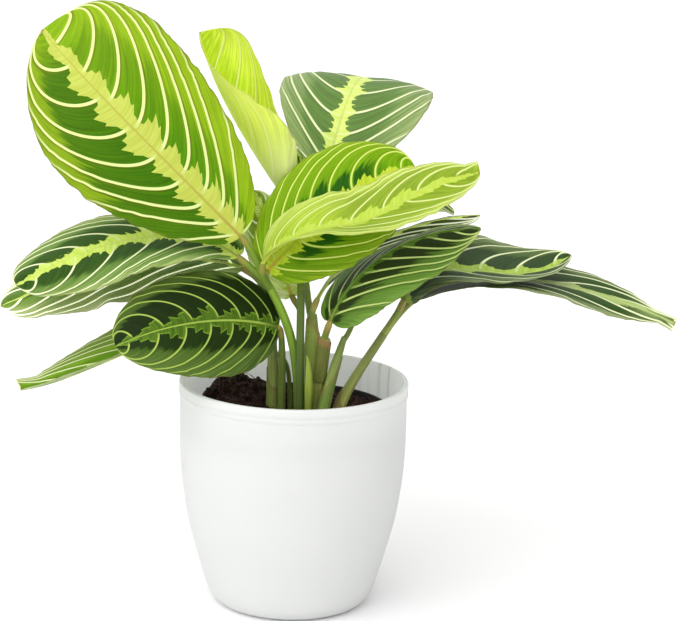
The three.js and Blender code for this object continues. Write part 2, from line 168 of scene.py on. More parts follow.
def revolved(name, profile, sides, material):
    """A closed solid of revolution. The profile [(r, z)] starts and ends on the axis."""
    turn, points, starts = ring_angles(sides), [], []
    for r, z in profile:
        starts.append((len(points), r == 0))
        points += [(r * math.cos(a), r * math.sin(a), z) for a in (turn if r else turn[:1])]
    faces = []
    for (a, a_is_point), (b, b_is_point) in zip(starts, starts[1:]):
        if a_is_point:
            faces += fan(a, b, sides)
        elif b_is_point:
            faces += [face[::-1] for face in fan(b, a, sides)]
        else:
            faces += band(a, b, sides)
    return new_object(name, points, faces, [material])


# Materials


def rgb(r, g, b):
    """A colour of 0 to 255 as the eye sees it, as a linear colour."""
    return tuple(
        c / 255 / 12.92 if c / 255 <= 0.04045 else ((c / 255 + 0.055) / 1.055) ** 2.4
        for c in (r, g, b)
    )


def sum_of(operation, swapped=False):
    def method(value, other):
        a, b = (other, value) if swapped else (value, other)
        return value.shade.math(operation, a, b)

    return method


class Value:
    """A number or colour that nodes work out. Each +, - or * adds a node."""

    def __init__(self, shade, socket):
        self.shade, self.socket = shade, socket

    __add__, __radd__ = sum_of("ADD"), sum_of("ADD", True)
    __sub__, __rsub__ = sum_of("SUBTRACT"), sum_of("SUBTRACT", True)
    __mul__, __rmul__ = sum_of("MULTIPLY"), sum_of("MULTIPLY", True)


class Shade:
    """The nodes of a new material or world, written as sums."""

    def __init__(self, name, kind=bpy.data.materials):
        self.owner = kind.new(name)
        self.owner.use_nodes = True
        self.tree = self.owner.node_tree
        self.tree.nodes.clear()

    def node(self, kind, sockets, **settings):
        node = self.tree.nodes.new(kind)
        for key, value in settings.items():
            setattr(node, key, value)
        for key, value in sockets.items():
            self.feed(node.inputs[key], value)
        return node

    def feed(self, socket, value):
        if isinstance(value, Value):
            self.tree.links.new(value.socket, socket)
        elif value is not None:
            needs_alpha = socket.type == "RGBA" and len(value) == 3
            socket.default_value = (*value, 1) if needs_alpha else value

    def put(self, kind, sockets, output=0, **settings):
        return Value(self, self.node(kind, sockets, **settings).outputs[output])

    def math(self, operation, a, b=None):
        return self.put("ShaderNodeMath", {0: a, 1: b}, operation=operation)

    def vector_math(self, operation, sockets, output=0):
        return self.put("ShaderNodeVectorMath", sockets, output, operation=operation)

    def step(self, value, low, high, start=0.0, end=1.0):
        """Rises smoothly from start to end as value goes from low to high."""
        sockets = {"Value": value, "From Min": low, "From Max": high, "To Min": start, "To Max": end}
        return self.put("ShaderNodeMapRange", sockets, interpolation_type="SMOOTHSTEP")

    def mix(self, factor, a, b):
        return self.put("ShaderNodeMix", {0: factor, 6: a, 7: b}, 2, data_type="RGBA")

    def scale(self, colour, factor):
        return self.vector_math("SCALE", {0: colour, 3: factor})

    def combine(self, x, y, z):
        return self.put("ShaderNodeCombineXYZ", {0: x, 1: y, 2: z})

    def split(self, vector):
        node = self.node("ShaderNodeSeparateXYZ", {0: vector})
        return [Value(self, output) for output in node.outputs]

    def attribute(self, name):
        return self.put("ShaderNodeAttribute", {}, "Vector", attribute_name=name)

    def place(self, output="Object"):
        return self.put("ShaderNodeTexCoord", {}, output)

    def grain(self, scale, detail=2.0, rough=0.5):
        """Noise that is fixed to the object."""
        return self.noise(self.place(), scale, detail, rough)

    def noise(self, vector, scale, detail=2.0, rough=0.5):
        sockets = {"Vector": vector, "Scale": scale, "Detail": detail, "Roughness": rough}
        return self.put("ShaderNodeTexNoise", sockets)

    def speckle(self, vector):
        return self.put("ShaderNodeTexWhiteNoise", {"Vector": vector}, noise_dimensions="3D")

    def curve(self, value, points):
        node = self.node("ShaderNodeFloatCurve", {"Value": value})
        curve = node.mapping.curves[0]
        curve.points[0].location, curve.points[1].location = points[0], points[-1]
        for x, y in points[1:-1]:
            curve.points.new(x, y)
        for point in curve.points:
            point.handle_type = "VECTOR"
        node.mapping.update()
        return Value(self, node.outputs[0])

    def bump(self, height, strength):
        return self.put("ShaderNodeBump", {"Height": height, "Strength": strength, "Distance": MM})

    def finish(self, colour, roughness, normal=None, see_through=0.0, shine=0.0, gloss=0.5):
        """Painted glow is emission that makes a part bright even in the shade: painted light, not a lamp.
        """
        surface = self.put("ShaderNodeBsdfPrincipled", {
            "Base Color": colour, "Roughness": roughness, "Normal": normal,
            "Emission Color": colour, "Emission Strength": shine, "Specular IOR Level": gloss,
        })
        if see_through:
            glow = self.put("ShaderNodeBsdfTranslucent", {"Color": colour, "Normal": normal})
            surface = self.put("ShaderNodeMixShader", {0: see_through, 1: surface, 2: glow})
        self.node("ShaderNodeOutputMaterial", {"Surface": surface})
        return self.owner


# Leaf looks. The blade's colours are inner, outer and margin from the feather outward, with far in
# inner's place toward the tip. The pale feather along the midrib has painted shade of deep in its
# folds, and painted shade lies below each vein. Reach, strength and lean say how far out the dark
# blotches go, how dark they are and how much less they reach toward the tip, soft how ragged their
# ends are, and span where along the blade they fade in and out. A pair of numbers is for the left and
# the right half.

LOOKS = {
    "bright": dict(
        inner=(96, 156, 0), outer=(144, 180, 24), margin=(150, 182, 32), far=(134, 176, 14),
        vein=(230, 241, 160), feather=(202, 213, 96), deep=(191, 202, 82), blotch=(62, 118, 0),
        shade=(110, 112, 10), under=(160, 184, 96), rib=(186, 172, 78), stalk=(186, 150, 80),
        reach=(0.85, 0.6), lean=(0.75, 0), soft=0.6, strength=(0.84, 0.5), span=(-0.1, 0, 0.82, 0.97),
        feather_mm=12.5, vein_mm=2.0, shadow=0.75, teeth="lobes", tint=(0.8, 1.0), gloss=0.1, glow=0.12,
        slot="bright_leaf",
    ),
    "lime": dict(
        inner=(168, 194, 52), outer=(176, 200, 70), margin=(200, 215, 110), far=(150, 176, 44),
        vein=(220, 232, 146), feather=(194, 217, 84), deep=(184, 208, 70), blotch=(136, 164, 34),
        shade=(150, 166, 40), under=(204, 224, 84), rib=(196, 206, 90), stalk=(218, 168, 84),
        reach=0.66, lean=0, soft=0.5, strength=0.8, span=(0.32, 0.58, 0.97, 1.0),
        feather_mm=6.0, vein_mm=1.25, shadow=0.2, teeth="lobes", tint=1.0, gloss=0.15, glow=0.15,
        slot="lime_leaf",
    ),
    "young": dict(
        inner=(116, 168, 4), outer=(118, 162, 6), margin=(154, 186, 40),
        vein=(218, 234, 116), feather=(202, 222, 62), deep=(182, 206, 44), blotch=(38, 96, 4),
        shade=(84, 116, 6), under=(150, 178, 80), rib=(176, 196, 60), stalk=(214, 160, 84),
        reach=0.5, lean=0, soft=0.7, strength=1.0, span=(0.12, 0.24, 0.72, 0.9), lenses=True,
        feather_mm=9.5, vein_mm=1.15, shadow=0.25, teeth="lobes", tint=(0.96, 0.8), gloss=0.08, glow=0.12,
        slot="bright_leaf",
    ),
    "dark": dict(
        inner=(72, 116, 20), outer=(88, 124, 40), margin=(158, 176, 104),
        vein=(236, 243, 192), feather=(208, 228, 108), deep=(192, 217, 84), blotch=(42, 74, 16),
        shade=(46, 70, 18), under=(150, 166, 118), rib=(196, 212, 116), stalk=(150, 156, 80),
        reach=0.5, lean=0, soft=0.36, strength=0.92, span=(-0.1, 0, 1.0, 1.1),
        feather_mm=7.5, vein_mm=1.7, shadow=0.3, teeth="flames", tint=1.0, gloss=0.1, glow=0.1,
        slot="dark_leaf",
    ),
    "deep": dict(
        inner=(54, 82, 14), outer=(78, 104, 38), margin=(92, 116, 52),
        vein=(164, 188, 84), feather=(84, 114, 28), deep=(62, 94, 18), blotch=(28, 48, 6),
        shade=(30, 46, 8), under=(120, 140, 90), rib=(172, 200, 84), stalk=(120, 132, 60),
        edge=(120, 156, 44),
        reach=(0.5, 0.8), lean=(0.35, 0.5), soft=0.5, strength=1.0, span=(-0.1, 0, 1.0, 1.1),
        feather_mm=8.0, vein_mm=1.1, shadow=0.15, teeth="thorns", tint=0.95, gloss=0.1, glow=0.06,
        slot="dark_leaf",
    ),
}

# How far the feather reaches at each place from one side vein to the next
TEETH = {
    "lobes": [(0, 0.3), (0.1, 0.46), (0.2, 0.5), (0.31, 0.84), (0.37, 0.7), (0.56, 1.06),
              (0.65, 0.68), (0.8, 0.74), (0.86, 0.46), (1, 0.32)],
    "flames": [(0, 1.0), (0.1, 0.96), (0.17, 0.74), (0.3, 0.66), (0.36, 0.46), (0.6, 0.38),
               (0.78, 0.44), (0.92, 0.7), (1, 0.94)],
    "spikes": [(0, 1.0), (0.1, 0.86), (0.22, 0.56), (0.3, 0.46), (0.36, 0.7), (0.42, 0.42),
               (0.58, 0.36), (0.66, 0.62), (0.7, 0.42), (0.84, 0.5), (0.95, 0.86), (1, 1.0)],
    "thorns": [(0, 0.35), (0.05, 0.95), (0.3, 0.82), (0.34, 0.52), (0.62, 0.78), (0.66, 0.38), (1, 0.28)],
}
# The feather's width from the base to the tip
TAPER = [(0, 0.8), (0.08, 0.8), (0.25, 0.94), (0.45, 1), (0.65, 0.94), (0.8, 0.7), (0.9, 0.46),
         (0.96, 0.2), (1, 0.1)]
MARGIN_BROWN, TIP_BROWN = rgb(110, 112, 52), rgb(136, 108, 58)


# Leaves. The same curves and numbers as the solids.


def several(value, count):
    """The same value several times, unless there are several already."""
    return value if isinstance(value, (tuple, list)) else (value,) * count


def half(width, widest, full, rise=0, curl=0, tip=0.5):
    """One half of a blade. A pair for full is its bluntness at the base and at the tip, and three
    values for rise and curl are degrees at the base, the middle and the tip."""
    return {"width": width, "widest": widest, "full": several(full, 2), "rise": several(rise, 3),
            "curl": several(curl, 3), "tip": tip}


def new_leaf(look, midrib, face, left, right, veins, sweep=(1.1, 1.0), run=(0.98, 1.0),
             rough_edge=0.75, ruffle=(0, 0, 0), **changes):
    """A blade. Face is one direction, or three for the base, the middle and the tip. Veins counts each
    half's side veins, sweep says how much they bend, and run how far they go toward the tip."""
    return {
        "midrib": midrib, "face": face if isinstance(face, list) else [face] * 3, "left": left,
        "right": right, "veins": veins, "sweep": sweep, "run": run, "rough_edge": rough_edge,
        "ruffle": ruffle,
        "look": {**LOOKS[look], **changes},
    }


LEAVES = {
    "leaf_great": new_leaf(
        "bright", [(-31, -14, 215), (-69, -26, 256), (-113, -28, 298), (-141, -6, 326)],
        [(0.1, -0.95, 0.3), (0.05, -1, 0.2), (0, -0.95, 0.2)],
        half(46, 0.57, (0.53, 0.62), (12, 10, 2), (0, -10, -20)),
        half(50, 0.66, (0.28, 0.22), (6, 4, 2), (-5, -15, -25)),
        veins=(8.6, 9.6), run=(0.98, 1.18),
    ),
    "leaf_rolled": new_leaf(
        "lime", [(-3, 16, 226), (-20, 17, 250), (-49, 16, 290), (-56, 16, 324)], (1, 0, 0),
        half(34, 0.42, (1.1, 0.7), 0, (190, 95, -20)),
        half(41, 0.62, (0.28, 0.24), 0, (200, 198, 135)),
        veins=(6, 6), sweep=(0.8, 0.8), run=(1.2, 1.2),
        # Its lime colours are painted lighter than the blade's own, painted light against the shade inside
        # the roll; base, the near-white underside toward the stalk, is a painted highlight.
        inner=(222, 236, 84), outer=(228, 240, 104), margin=(242, 250, 140), far=(232, 246, 96),
        vein=(248, 252, 190), feather=(238, 250, 110), deep=(234, 248, 96), blotch=(190, 222, 24),
        under=(240, 248, 130), base=(255, 255, 226), pale_under=0.6, glow=0.48,
        span=(0.5, 0.7, 1.0, 1.1), reach=0.5, soft=0.6, strength=0.5,
    ),
    "leaf_back": new_leaf(
        "dark", [(14, 14, 242), (22, 38, 261), (32, 72, 315), (46, 130, 275)],
        [(0.02, -0.7, 0.7), (0.05, -0.2, 1), (0, 0.3, 1)],
        half(43, 0.58, (0.62, 0.5), (10, 8, 6), (-12, -18, -16)),
        half(46, 0.57, (0.55, 0.4), (4, 3, 3), (-8, -18, -18)),
        veins=(7.5, 8.4), rough_edge=0.25,
        # Its pale grey-green margin is partly its own colour and partly painted sheen along the edges.
        inner=(108, 142, 66), outer=(118, 146, 76), margin=(160, 178, 116), blotch=(88, 124, 48),
        feather=(224, 238, 130), deep=(208, 228, 104), teeth="spikes", feather_mm=8.8,
        reach=0.6, soft=0.5, strength=0.8, gloss=0.3,
    ),
    "leaf_centre": new_leaf(
        "young", [(-16, -12, 195), (-3, -12, 212), (29, -6, 243), (65, 4, 253)], (-0.1, -0.9, 0.4),
        half(33, 0.5, 0.5, 4, -10),
        half(33, 0.5, 0.5, 4, -10),
        veins=(9, 8), reach=(0.5, 0.6),
    ),
    "leaf_lime": new_leaf(
        "lime",
        [(-18.3, -20, 201), (-14.6, -25, 212.3), (4.4, -33, 223.9), (24.5, -37, 227.3),
         (48.2, -42, 230.5), (63.3, -41, 252.6), (98.6, -36, 257.3)],
        [(0, 0, 1), (0, -0.05, 1), (0, -0.55, 0.8)],
        half(23, 0.39, (0.48, 0.6), (50, 44, 20), 0, 7),
        half(21, 0.6, 0.6, (-2, -8, -22)),
        veins=(8, 8), blotch=(128, 156, 30), reach=0.8, strength=0.75, span=(0.28, 0.5, 0.97, 1.0),
    ),
    "leaf_left_upper": new_leaf(
        "dark", [(-32.5, -8, 202), (-59.7, 0, 222), (-112, -8, 212.4), (-152.9, -30, 188.1)],
        (0, -0.3, 0.95),
        half(34, 0.56, (0.5, 0.45), (8, 0, -4), (-10, -10, -14), 1.5),
        half(31, 0.5, (0.45, 0.4), (8, 4, 0), -5, 1.5),
        veins=(7, 8), outer=(100, 136, 58), teeth="spikes", feather_mm=11.0, vein_mm=1.5,
        reach=(0.55, 0.62), strength=0.85,
    ),
    "leaf_left_lower": new_leaf(
        "dark", [(-29.9, 4, 192.5), (-60.2, 14, 203), (-116.7, 14, 190.3), (-165.5, 0, 169.4)],
        (0, -0.2, 0.97),
        half(34, 0.55, 0.45, (-2, -6, -6), (-6, -8, -6), 3.5),
        half(34, 0.55, (0.4, 0.5), 0, 0, 3.5),
        veins=(7, 8), sweep=(0.8, 0.9), run=(1.2, 1.1), ruffle=(1.4, 4, 0),
        # Its right half's tint of 1.45 is painted light that lifts it in the shade of the leaf above.
        inner=(112, 148, 50), outer=(160, 182, 104), margin=(200, 210, 156), vein=(250, 252, 220),
        # The 0.6 on its veins is emission that makes them bright in the shade of the leaf above: painted
        # light.
        blotch=(52, 84, 24), feather_mm=4.0, reach=(0.12, 0.7), strength=0.7, tint=(1.0, 1.45), shine=0.6,
    ),
    "leaf_left_low": new_leaf(
        "dark", [(-14, 9, 144.4), (-59.5, 3, 177.1), (-108.8, -14, 131.2), (-150.5, -36, 130.7)],
        (0, 0, 1),
        half(12, 0.5, 0.4, 28),
        half(27, 0.42, (0.45, 0.7), (15, 17, 25), -4, 10),
        veins=(8, 8), sweep=(0.7, 0.7), run=(1.3, 1.3), slot="bright_leaf",
        inner=(132, 178, 40), outer=(122, 156, 52), margin=(146, 164, 92), vein=(240, 246, 190),
        blotch=(86, 130, 20), feather_mm=4.0, vein_mm=1.2, reach=0.3, strength=0.6,
    ),
    "leaf_front": new_leaf(
        "deep", [(-9, -8, 162), (-33, -30, 175), (-68, -48, 175), (-97, -54, 161)],
        [(-0.1, -0.85, 0.45), (-0.1, -0.85, 0.45), (-0.2, -0.8, 0.5)],
        half(32, 0.48, 0.5, 4, -20),
        half(31, 0.48, 0.42, 4, -20),
        veins=(8, 7.5), tint=(1.0, 0.82), feather_mm=8.6,
    ),
    "leaf_right_front": new_leaf(
        "dark", [(19.4, -18, 168.2), (27.2, -17, 193.2), (57, -14, 223.8), (102, -12, 221.5)],
        (-0.45, -0.4, 0.8),
        half(25, 0.5, 0.45, (10, -27, -24)),
        half(30, 0.5, (0.42, 0.66), -18, -8),
        veins=(7, 9), sweep=(0.7, 0.62), run=(1.25, 1.25),
        inner=(72, 102, 30), outer=(90, 126, 44), margin=(112, 146, 62), vein=(196, 214, 126),
        feather=(88, 122, 38), deep=(66, 96, 26), rib=(120, 150, 60), blotch=(34, 46, 16),
        feather_mm=5.0, vein_mm=1.25, shadow=0.5, reach=(0.62, 0.48), soft=0.6, strength=0.92,
    ),
    "leaf_right_fold": new_leaf(
        "dark", [(12.1, -2, 176.8), (23.6, 16, 198.4), (59, 36, 217.1), (104.8, 36, 219.7)],
        (-0.3, -0.04, 0.95),
        half(13, 0.6, (0.8, 0.6), (-6, -10, -10)),
        half(18, 0.6, (0.9, 0.45), (0, -14, -16)),
        veins=(7, 7), sweep=(0.6, 0.6), run=(1.3, 1.3),
        inner=(84, 110, 52), outer=(104, 128, 72), margin=(140, 160, 112), far=(160, 190, 70),
        vein=(240, 246, 214), blotch=(38, 54, 16), feather_mm=5.0, vein_mm=1.9, shadow=0.6, reach=0.6,
    ),
    "leaf_right_upper": new_leaf(
        "dark", [(61.3, 6, 175.9), (75, 10, 215.2), (125.4, 18, 172), (157, 26, 199.5)],
        (0, 0, 1),
        half(45, 0.43, 0.5, (16, 16, 12)),
        half(28, 0.45, 0.5, (-12, 0, 9)),
        veins=(6, 4.5), sweep=(0.9, 0.8), run=(1.1, 1.15),
        inner=(62, 90, 36), outer=(80, 106, 52), margin=(140, 154, 106), blotch=(50, 74, 36),
        feather=(178, 206, 88), deep=(160, 190, 74), under=(74, 94, 44), pale_under=0.6,
        feather_mm=10.5, vein_mm=1.9, shadow=0.4, reach=0.6,
    ),
    "leaf_right_far": new_leaf(
        "dark", [(68, 16, 174.2), (104.8, 24, 198.9), (178.7, 22, 180.3), (216.9, 14, 163)],
        (0, -0.12, 1),
        half(38, 0.4, (0.6, 1.4), (0, 0, 18), 0, 5),
        half(27, 0.45, (0.7, 0.9), (4, 4, -34), 0, 5.5),
        veins=(5.5, 4), sweep=(0.7, 0.6), run=(1.2, 1.3),
        inner=(66, 92, 32), outer=(76, 100, 46), margin=(150, 162, 114), far=(138, 158, 98),
        feather=(178, 196, 124), deep=(160, 182, 104), under=(74, 94, 44), pale_under=0.6,
        feather_mm=6.5, vein_mm=1.9, shadow=0.5, reach=0.75, span=(-0.1, 0, 0.78, 0.92),
    ),
    "leaf_behind_right": new_leaf(
        "dark", [(42, 42, 206), (53, 44, 226), (74, 48, 234), (91, 52, 218)], (0, -0.2, 0.98),
        half(15, 0.55, 0.5), half(17, 0.6, 0.4), veins=(5, 5),
    ),
    "leaf_behind_small": new_leaf(
        "dark", [(11, 30, 225), (8, 32, 236), (4, 34, 247), (1, 36, 258)], (0, -0.9, 0.3),
        half(7, 0.5, 0.5), half(7, 0.5, 0.5), veins=(4, 4),
    ),
    "leaf_behind_lime": new_leaf(
        "lime", [(-2, 5, 177), (-10, 13, 196), (-18, 20, 215), (-25, 28, 233)], (0, -0.9, 0.3),
        half(16, 0.5, 0.5), half(14, 0.5, 0.5), veins=(6, 6),
        inner=(226, 238, 150), outer=(226, 238, 170), margin=(234, 242, 200), vein=(246, 250, 224),
        feather=(228, 240, 160), glow=0.4,
    ),
}
BASE_HALF, LOBE = 1.8, 7
MESH_MM = 1.15  # spacing of the points on a blade
VEIN_CROWDING = 0.72  # below 1 the side veins lie closer near the base
VEIN_HALVINGS, VEIN_BASE = 28, 0.08
SWELL, FULL_GAP = 0.34, 9  # height between two veins that are this far apart
WOBBLE_LENGTHS = (5.5, 2.4)
GROOVE, GROOVE_WIDTH, RIB, RIB_WIDTH = 0.3, 0.9, 1.0, 1.15
EDGE_THICKNESS, THICKENING, EDGE_ROUNDING = 0.26, 0.2, 0.1


def outline(s, part):
    power = math.log(0.5) / math.log(part["widest"])
    low, high = part["full"]
    return np.clip(np.sin(np.pi * np.clip(s, 0, 1) ** power), 0, 1) ** (low + (high - low) * s)


def blade_surface(leaf, s, t):
    """Points and normals of a blade's middle surface, and its half widths."""
    u, _ = evenly(leaf["midrib"], s)
    middle, along = bezier(leaf["midrib"], u), bezier_slope(leaf["midrib"], u)
    face = three_way(leaf["face"], s)
    normal = unit(face - (face * along).sum(1, keepdims=True) * along)
    right = np.cross(along, normal)
    sign, a = np.where(t < 0, -1, 1)[None, :], np.abs(t)[None, :]

    def pick(make):
        return np.where(t[None, :] < 0, make(leaf["left"])[:, None], make(leaf["right"])[:, None])

    share = pick(lambda h: outline(s, h))
    narrow = pick(lambda h: BASE_HALF + (h["tip"] - BASE_HALF) * s)
    width = np.maximum(pick(lambda h: h["width"] * outline(s, h)), narrow)
    rise = np.radians(pick(lambda h: three_way(h["rise"], s)))
    curl = np.radians(pick(lambda h: three_way(h["curl"], s)))
    curl = np.where(np.abs(curl) < 1e-4, 1e-4, curl)
    angle = rise + curl * a
    lateral = width * (np.sin(angle) - np.sin(rise)) / curl
    lift = width * (np.cos(rise) - np.cos(angle)) / curl
    up, out = normal[:, None, :], right[:, None, :]
    facing = up * np.cos(angle)[..., None] - out * (sign * np.sin(angle))[..., None]
    point = middle[:, None, :] + out * (sign * lateral)[..., None] + up * lift[..., None]
    height, waves, phase = leaf["ruffle"]
    turn = 2 * np.pi * (waves * s[:, None] + phase + np.where(sign > 0, 0.5, 0))
    point = point + facing * (height * a * a * np.sin(turn) * share)[..., None]
    back = LOBE * share * a**1.5 * ((1 - s)[:, None]) ** 5
    return point - along[:, None, :] * back[..., None], facing, width


def vein_start(s, a, sweep, run):
    """Where on the midrib the side vein through (s, a) leaves it. Veins bend toward the tip."""
    low, high = np.zeros_like(s + a), s + 0 * a
    for _ in range(VEIN_HALVINGS):
        middle = (low + high) / 2
        power = np.maximum((2.6 - 1.2 * middle) * sweep, 0.6)
        spread = (0.62 + 0.9 * middle**2) * run * np.maximum(a, 1e-4) ** power
        spread = np.minimum(spread, 0.99) * (1 - np.exp(-middle / VEIN_BASE))
        before = middle + (1 - middle) * spread < s
        low, high = np.where(before, middle, low), np.where(before, high, middle)
    return (low + high) / 2


def phase_gap(point, phase):
    """Millimetres from one side vein to the next, at every point of a half blade."""
    pi, pj = np.gradient(point, axis=0), np.gradient(point, axis=1)
    fi, fj = np.gradient(phase, axis=0), np.gradient(phase, axis=1)
    e, f, g = (pi * pi).sum(-1), (pi * pj).sum(-1), (pj * pj).sum(-1)
    rate = (g * fi**2 - 2 * f * fi * fj + e * fj**2) / np.maximum(e * g - f * f, 1e-9)
    return np.clip(1 / np.sqrt(np.maximum(rate, 1e-6)), 0.3, 60)


def blade_grid(leaf, length):
    """Shares along the midrib and across, from -1 to 1, and the column that is the midrib."""
    n = max(24, int(length / MESH_MM)) + 1
    k = np.arange(n) / (n - 1)
    s = 0.35 * k + 0.65 * (1 - np.cos(np.pi * k)) / 2
    across = []
    for side in ("left", "right"):
        c = np.linspace(0, 1, max(8, int(leaf[side]["width"] / MESH_MM)) + 1)
        across.append(c * (0.6 + 0.4 * c))
    return s, np.concatenate([-across[0][::-1], across[1][1:]]), len(across[0]) - 1


def vein_fields(leaf, point, s, a, mid, rng):
    """For each half, the number of side veins passed and the gap between two, and the blade's
    swelling between the veins."""
    fields, relief = [], np.zeros(a.shape)
    for h, sides in enumerate((slice(0, mid + 1), slice(mid, None))):
        shift = 0.5 * (1 - h) + rng.uniform(-0.1, 0.1)
        start = vein_start(s, a, leaf["sweep"][h], leaf["run"][h])
        phase = leaf["veins"][h] * start**VEIN_CROWDING + shift
        gap = np.ones(a.shape)
        gap[:, sides] = phase_gap(point[:, sides], phase[:, sides])
        fields.append(np.stack([phase, gap], -1))
        swell = (0.5 - 0.5 * np.cos(2 * np.pi * phase)) * smooth(a, 0.06, 0.3) * (1 - smooth(a, 0.8, 1))
        relief[:, sides] = (SWELL * np.clip(gap / FULL_GAP, 0.2, 1) * swell)[:, sides]
    return np.array(fields), relief


def blade_waves(s, a, side, turns):
    """Gentle waves of the whole blade, growing toward the edge."""
    slow = 0.7 * a**2 * np.sin(13 * s + 2.1 * side + turns[0])
    quick = 0.35 * a**4 * np.sin(41 * s + 3 * side + turns[1])
    skew = 0.4 * a * np.sin(7 * s + 5 * a * side + turns[2])
    return (slow + quick + skew) * np.sin(np.pi * s)


def edge_wobble(leaf, length, s, a, side, seed):
    """How far the outline stands out from the even one."""
    coarse, fine = [
        lattice_noise(length * s / wave, row + side + 0 * s, seed)
        for wave, row in zip(WOBBLE_LENGTHS, (9, 30))
    ]
    return leaf["rough_edge"] * a**5 * np.sin(np.pi * s) ** 0.5 * (coarse + 0.5 * fine)


def close_blade(base, top, under, mid):
    """Points and faces of a blade with a rounded edge, the material of each face, and the row, the
    column and the half from which each corner reads its fields."""
    n, m = base.shape[:2]
    edge = [(0, j) for j in range(m - 1)] + [(i, m - 1) for i in range(n - 1)]
    edge += [(n - 1, j) for j in range(m - 1, 0, -1)] + [(i, 0) for i in range(n - 1, 0, -1)]
    ei, ej = np.array(edge).T
    outward = unit(base[ei, ej] - base[np.clip(ei, 1, n - 2), np.clip(ej, 1, m - 2)])
    rim = (top[ei, ej] + under[ei, ej]) / 2 + outward * EDGE_ROUNDING
    points = np.concatenate([top.reshape(-1, 3), under.reshape(-1, 3), rim])

    gi, gj = [g.ravel() for g in np.meshgrid(np.arange(n - 1), np.arange(m - 1), indexing="ij")]
    rows = np.stack([gi, gi, gi + 1, gi + 1], 1)
    cols = np.stack([gj, gj + 1, gj + 1, gj], 1)
    here = np.arange(len(edge))
    there = np.roll(here, -1)
    pair = np.stack([here, here, there, there], 1)
    rim_rows, rim_cols = ei[pair], ej[pair]
    reverse, outer = [0, 3, 2, 1], np.array([True, False, False, True])
    upper, around, on_rim = rows * m + cols, rim_rows * m + rim_cols, 2 * n * m + pair
    faces = np.concatenate([
        upper, n * m + upper[:, reverse],
        np.where(outer, around, on_rim), np.where(outer, on_rim, n * m + around),
    ])
    row = np.concatenate([rows, rows[:, reverse], rim_rows, rim_rows])
    column = np.concatenate([cols, cols[:, reverse], rim_cols, rim_cols])
    part = np.repeat((column.min(1) >= mid)[:, None], 4, 1).astype(int)
    sides = np.repeat([0, 1, 0, 1], [len(rows), len(rows), len(edge), len(edge)])
    return points, faces, sides, row, column, part


def build_leaf(name, leaf, seed, materials):
    _, length = evenly(leaf["midrib"], [1.0])
    s, t, mid = blade_grid(leaf, length)
    point, facing, width = blade_surface(leaf, s, t)
    a = np.abs(t)[None, :] + 0 * s[:, None]
    s, side = s[:, None] + 0 * a, np.sign(t)[None, :]
    rng = np.random.RandomState(seed)
    fields, relief = vein_fields(leaf, point, s, a, mid, rng)
    wave = blade_waves(s, a, side, rng.uniform(0, 6.28, 3))
    out = unit(np.gradient(point, axis=1)) * side[..., None]
    point = point + out * edge_wobble(leaf, length, s, a, side, seed)[..., None]

    # The groove over the midrib and the rib under it, both fading toward the tip
    dist = width * a
    groove = GROOVE * np.exp(-((dist / GROOVE_WIDTH) ** 2)) * (1 - 0.6 * s)
    rib = RIB * np.exp(-((dist / RIB_WIDTH) ** 2)) * (1 - 0.85 * s)
    thick = EDGE_THICKNESS + THICKENING * (1 - smooth(a, 0.6, 1))
    base = point + facing * (wave + relief)[..., None]
    top = base + facing * (thick / 2 - groove)[..., None]
    under = base - facing * (thick / 2 + rib)[..., None]

    points, faces, sides, row, column, part = close_blade(base, top, under, mid)
    obj = new_object(name, points, faces, materials, sides)
    vein = np.concatenate([fields[part, row, column], dist[row, column][..., None]], -1)
    where = np.stack([s[row, column], a[row, column], part], -1)
    add_attribute(obj.data, "vein", vein, "CORNER")
    add_attribute(obj.data, "where", where, "CORNER")
    return obj


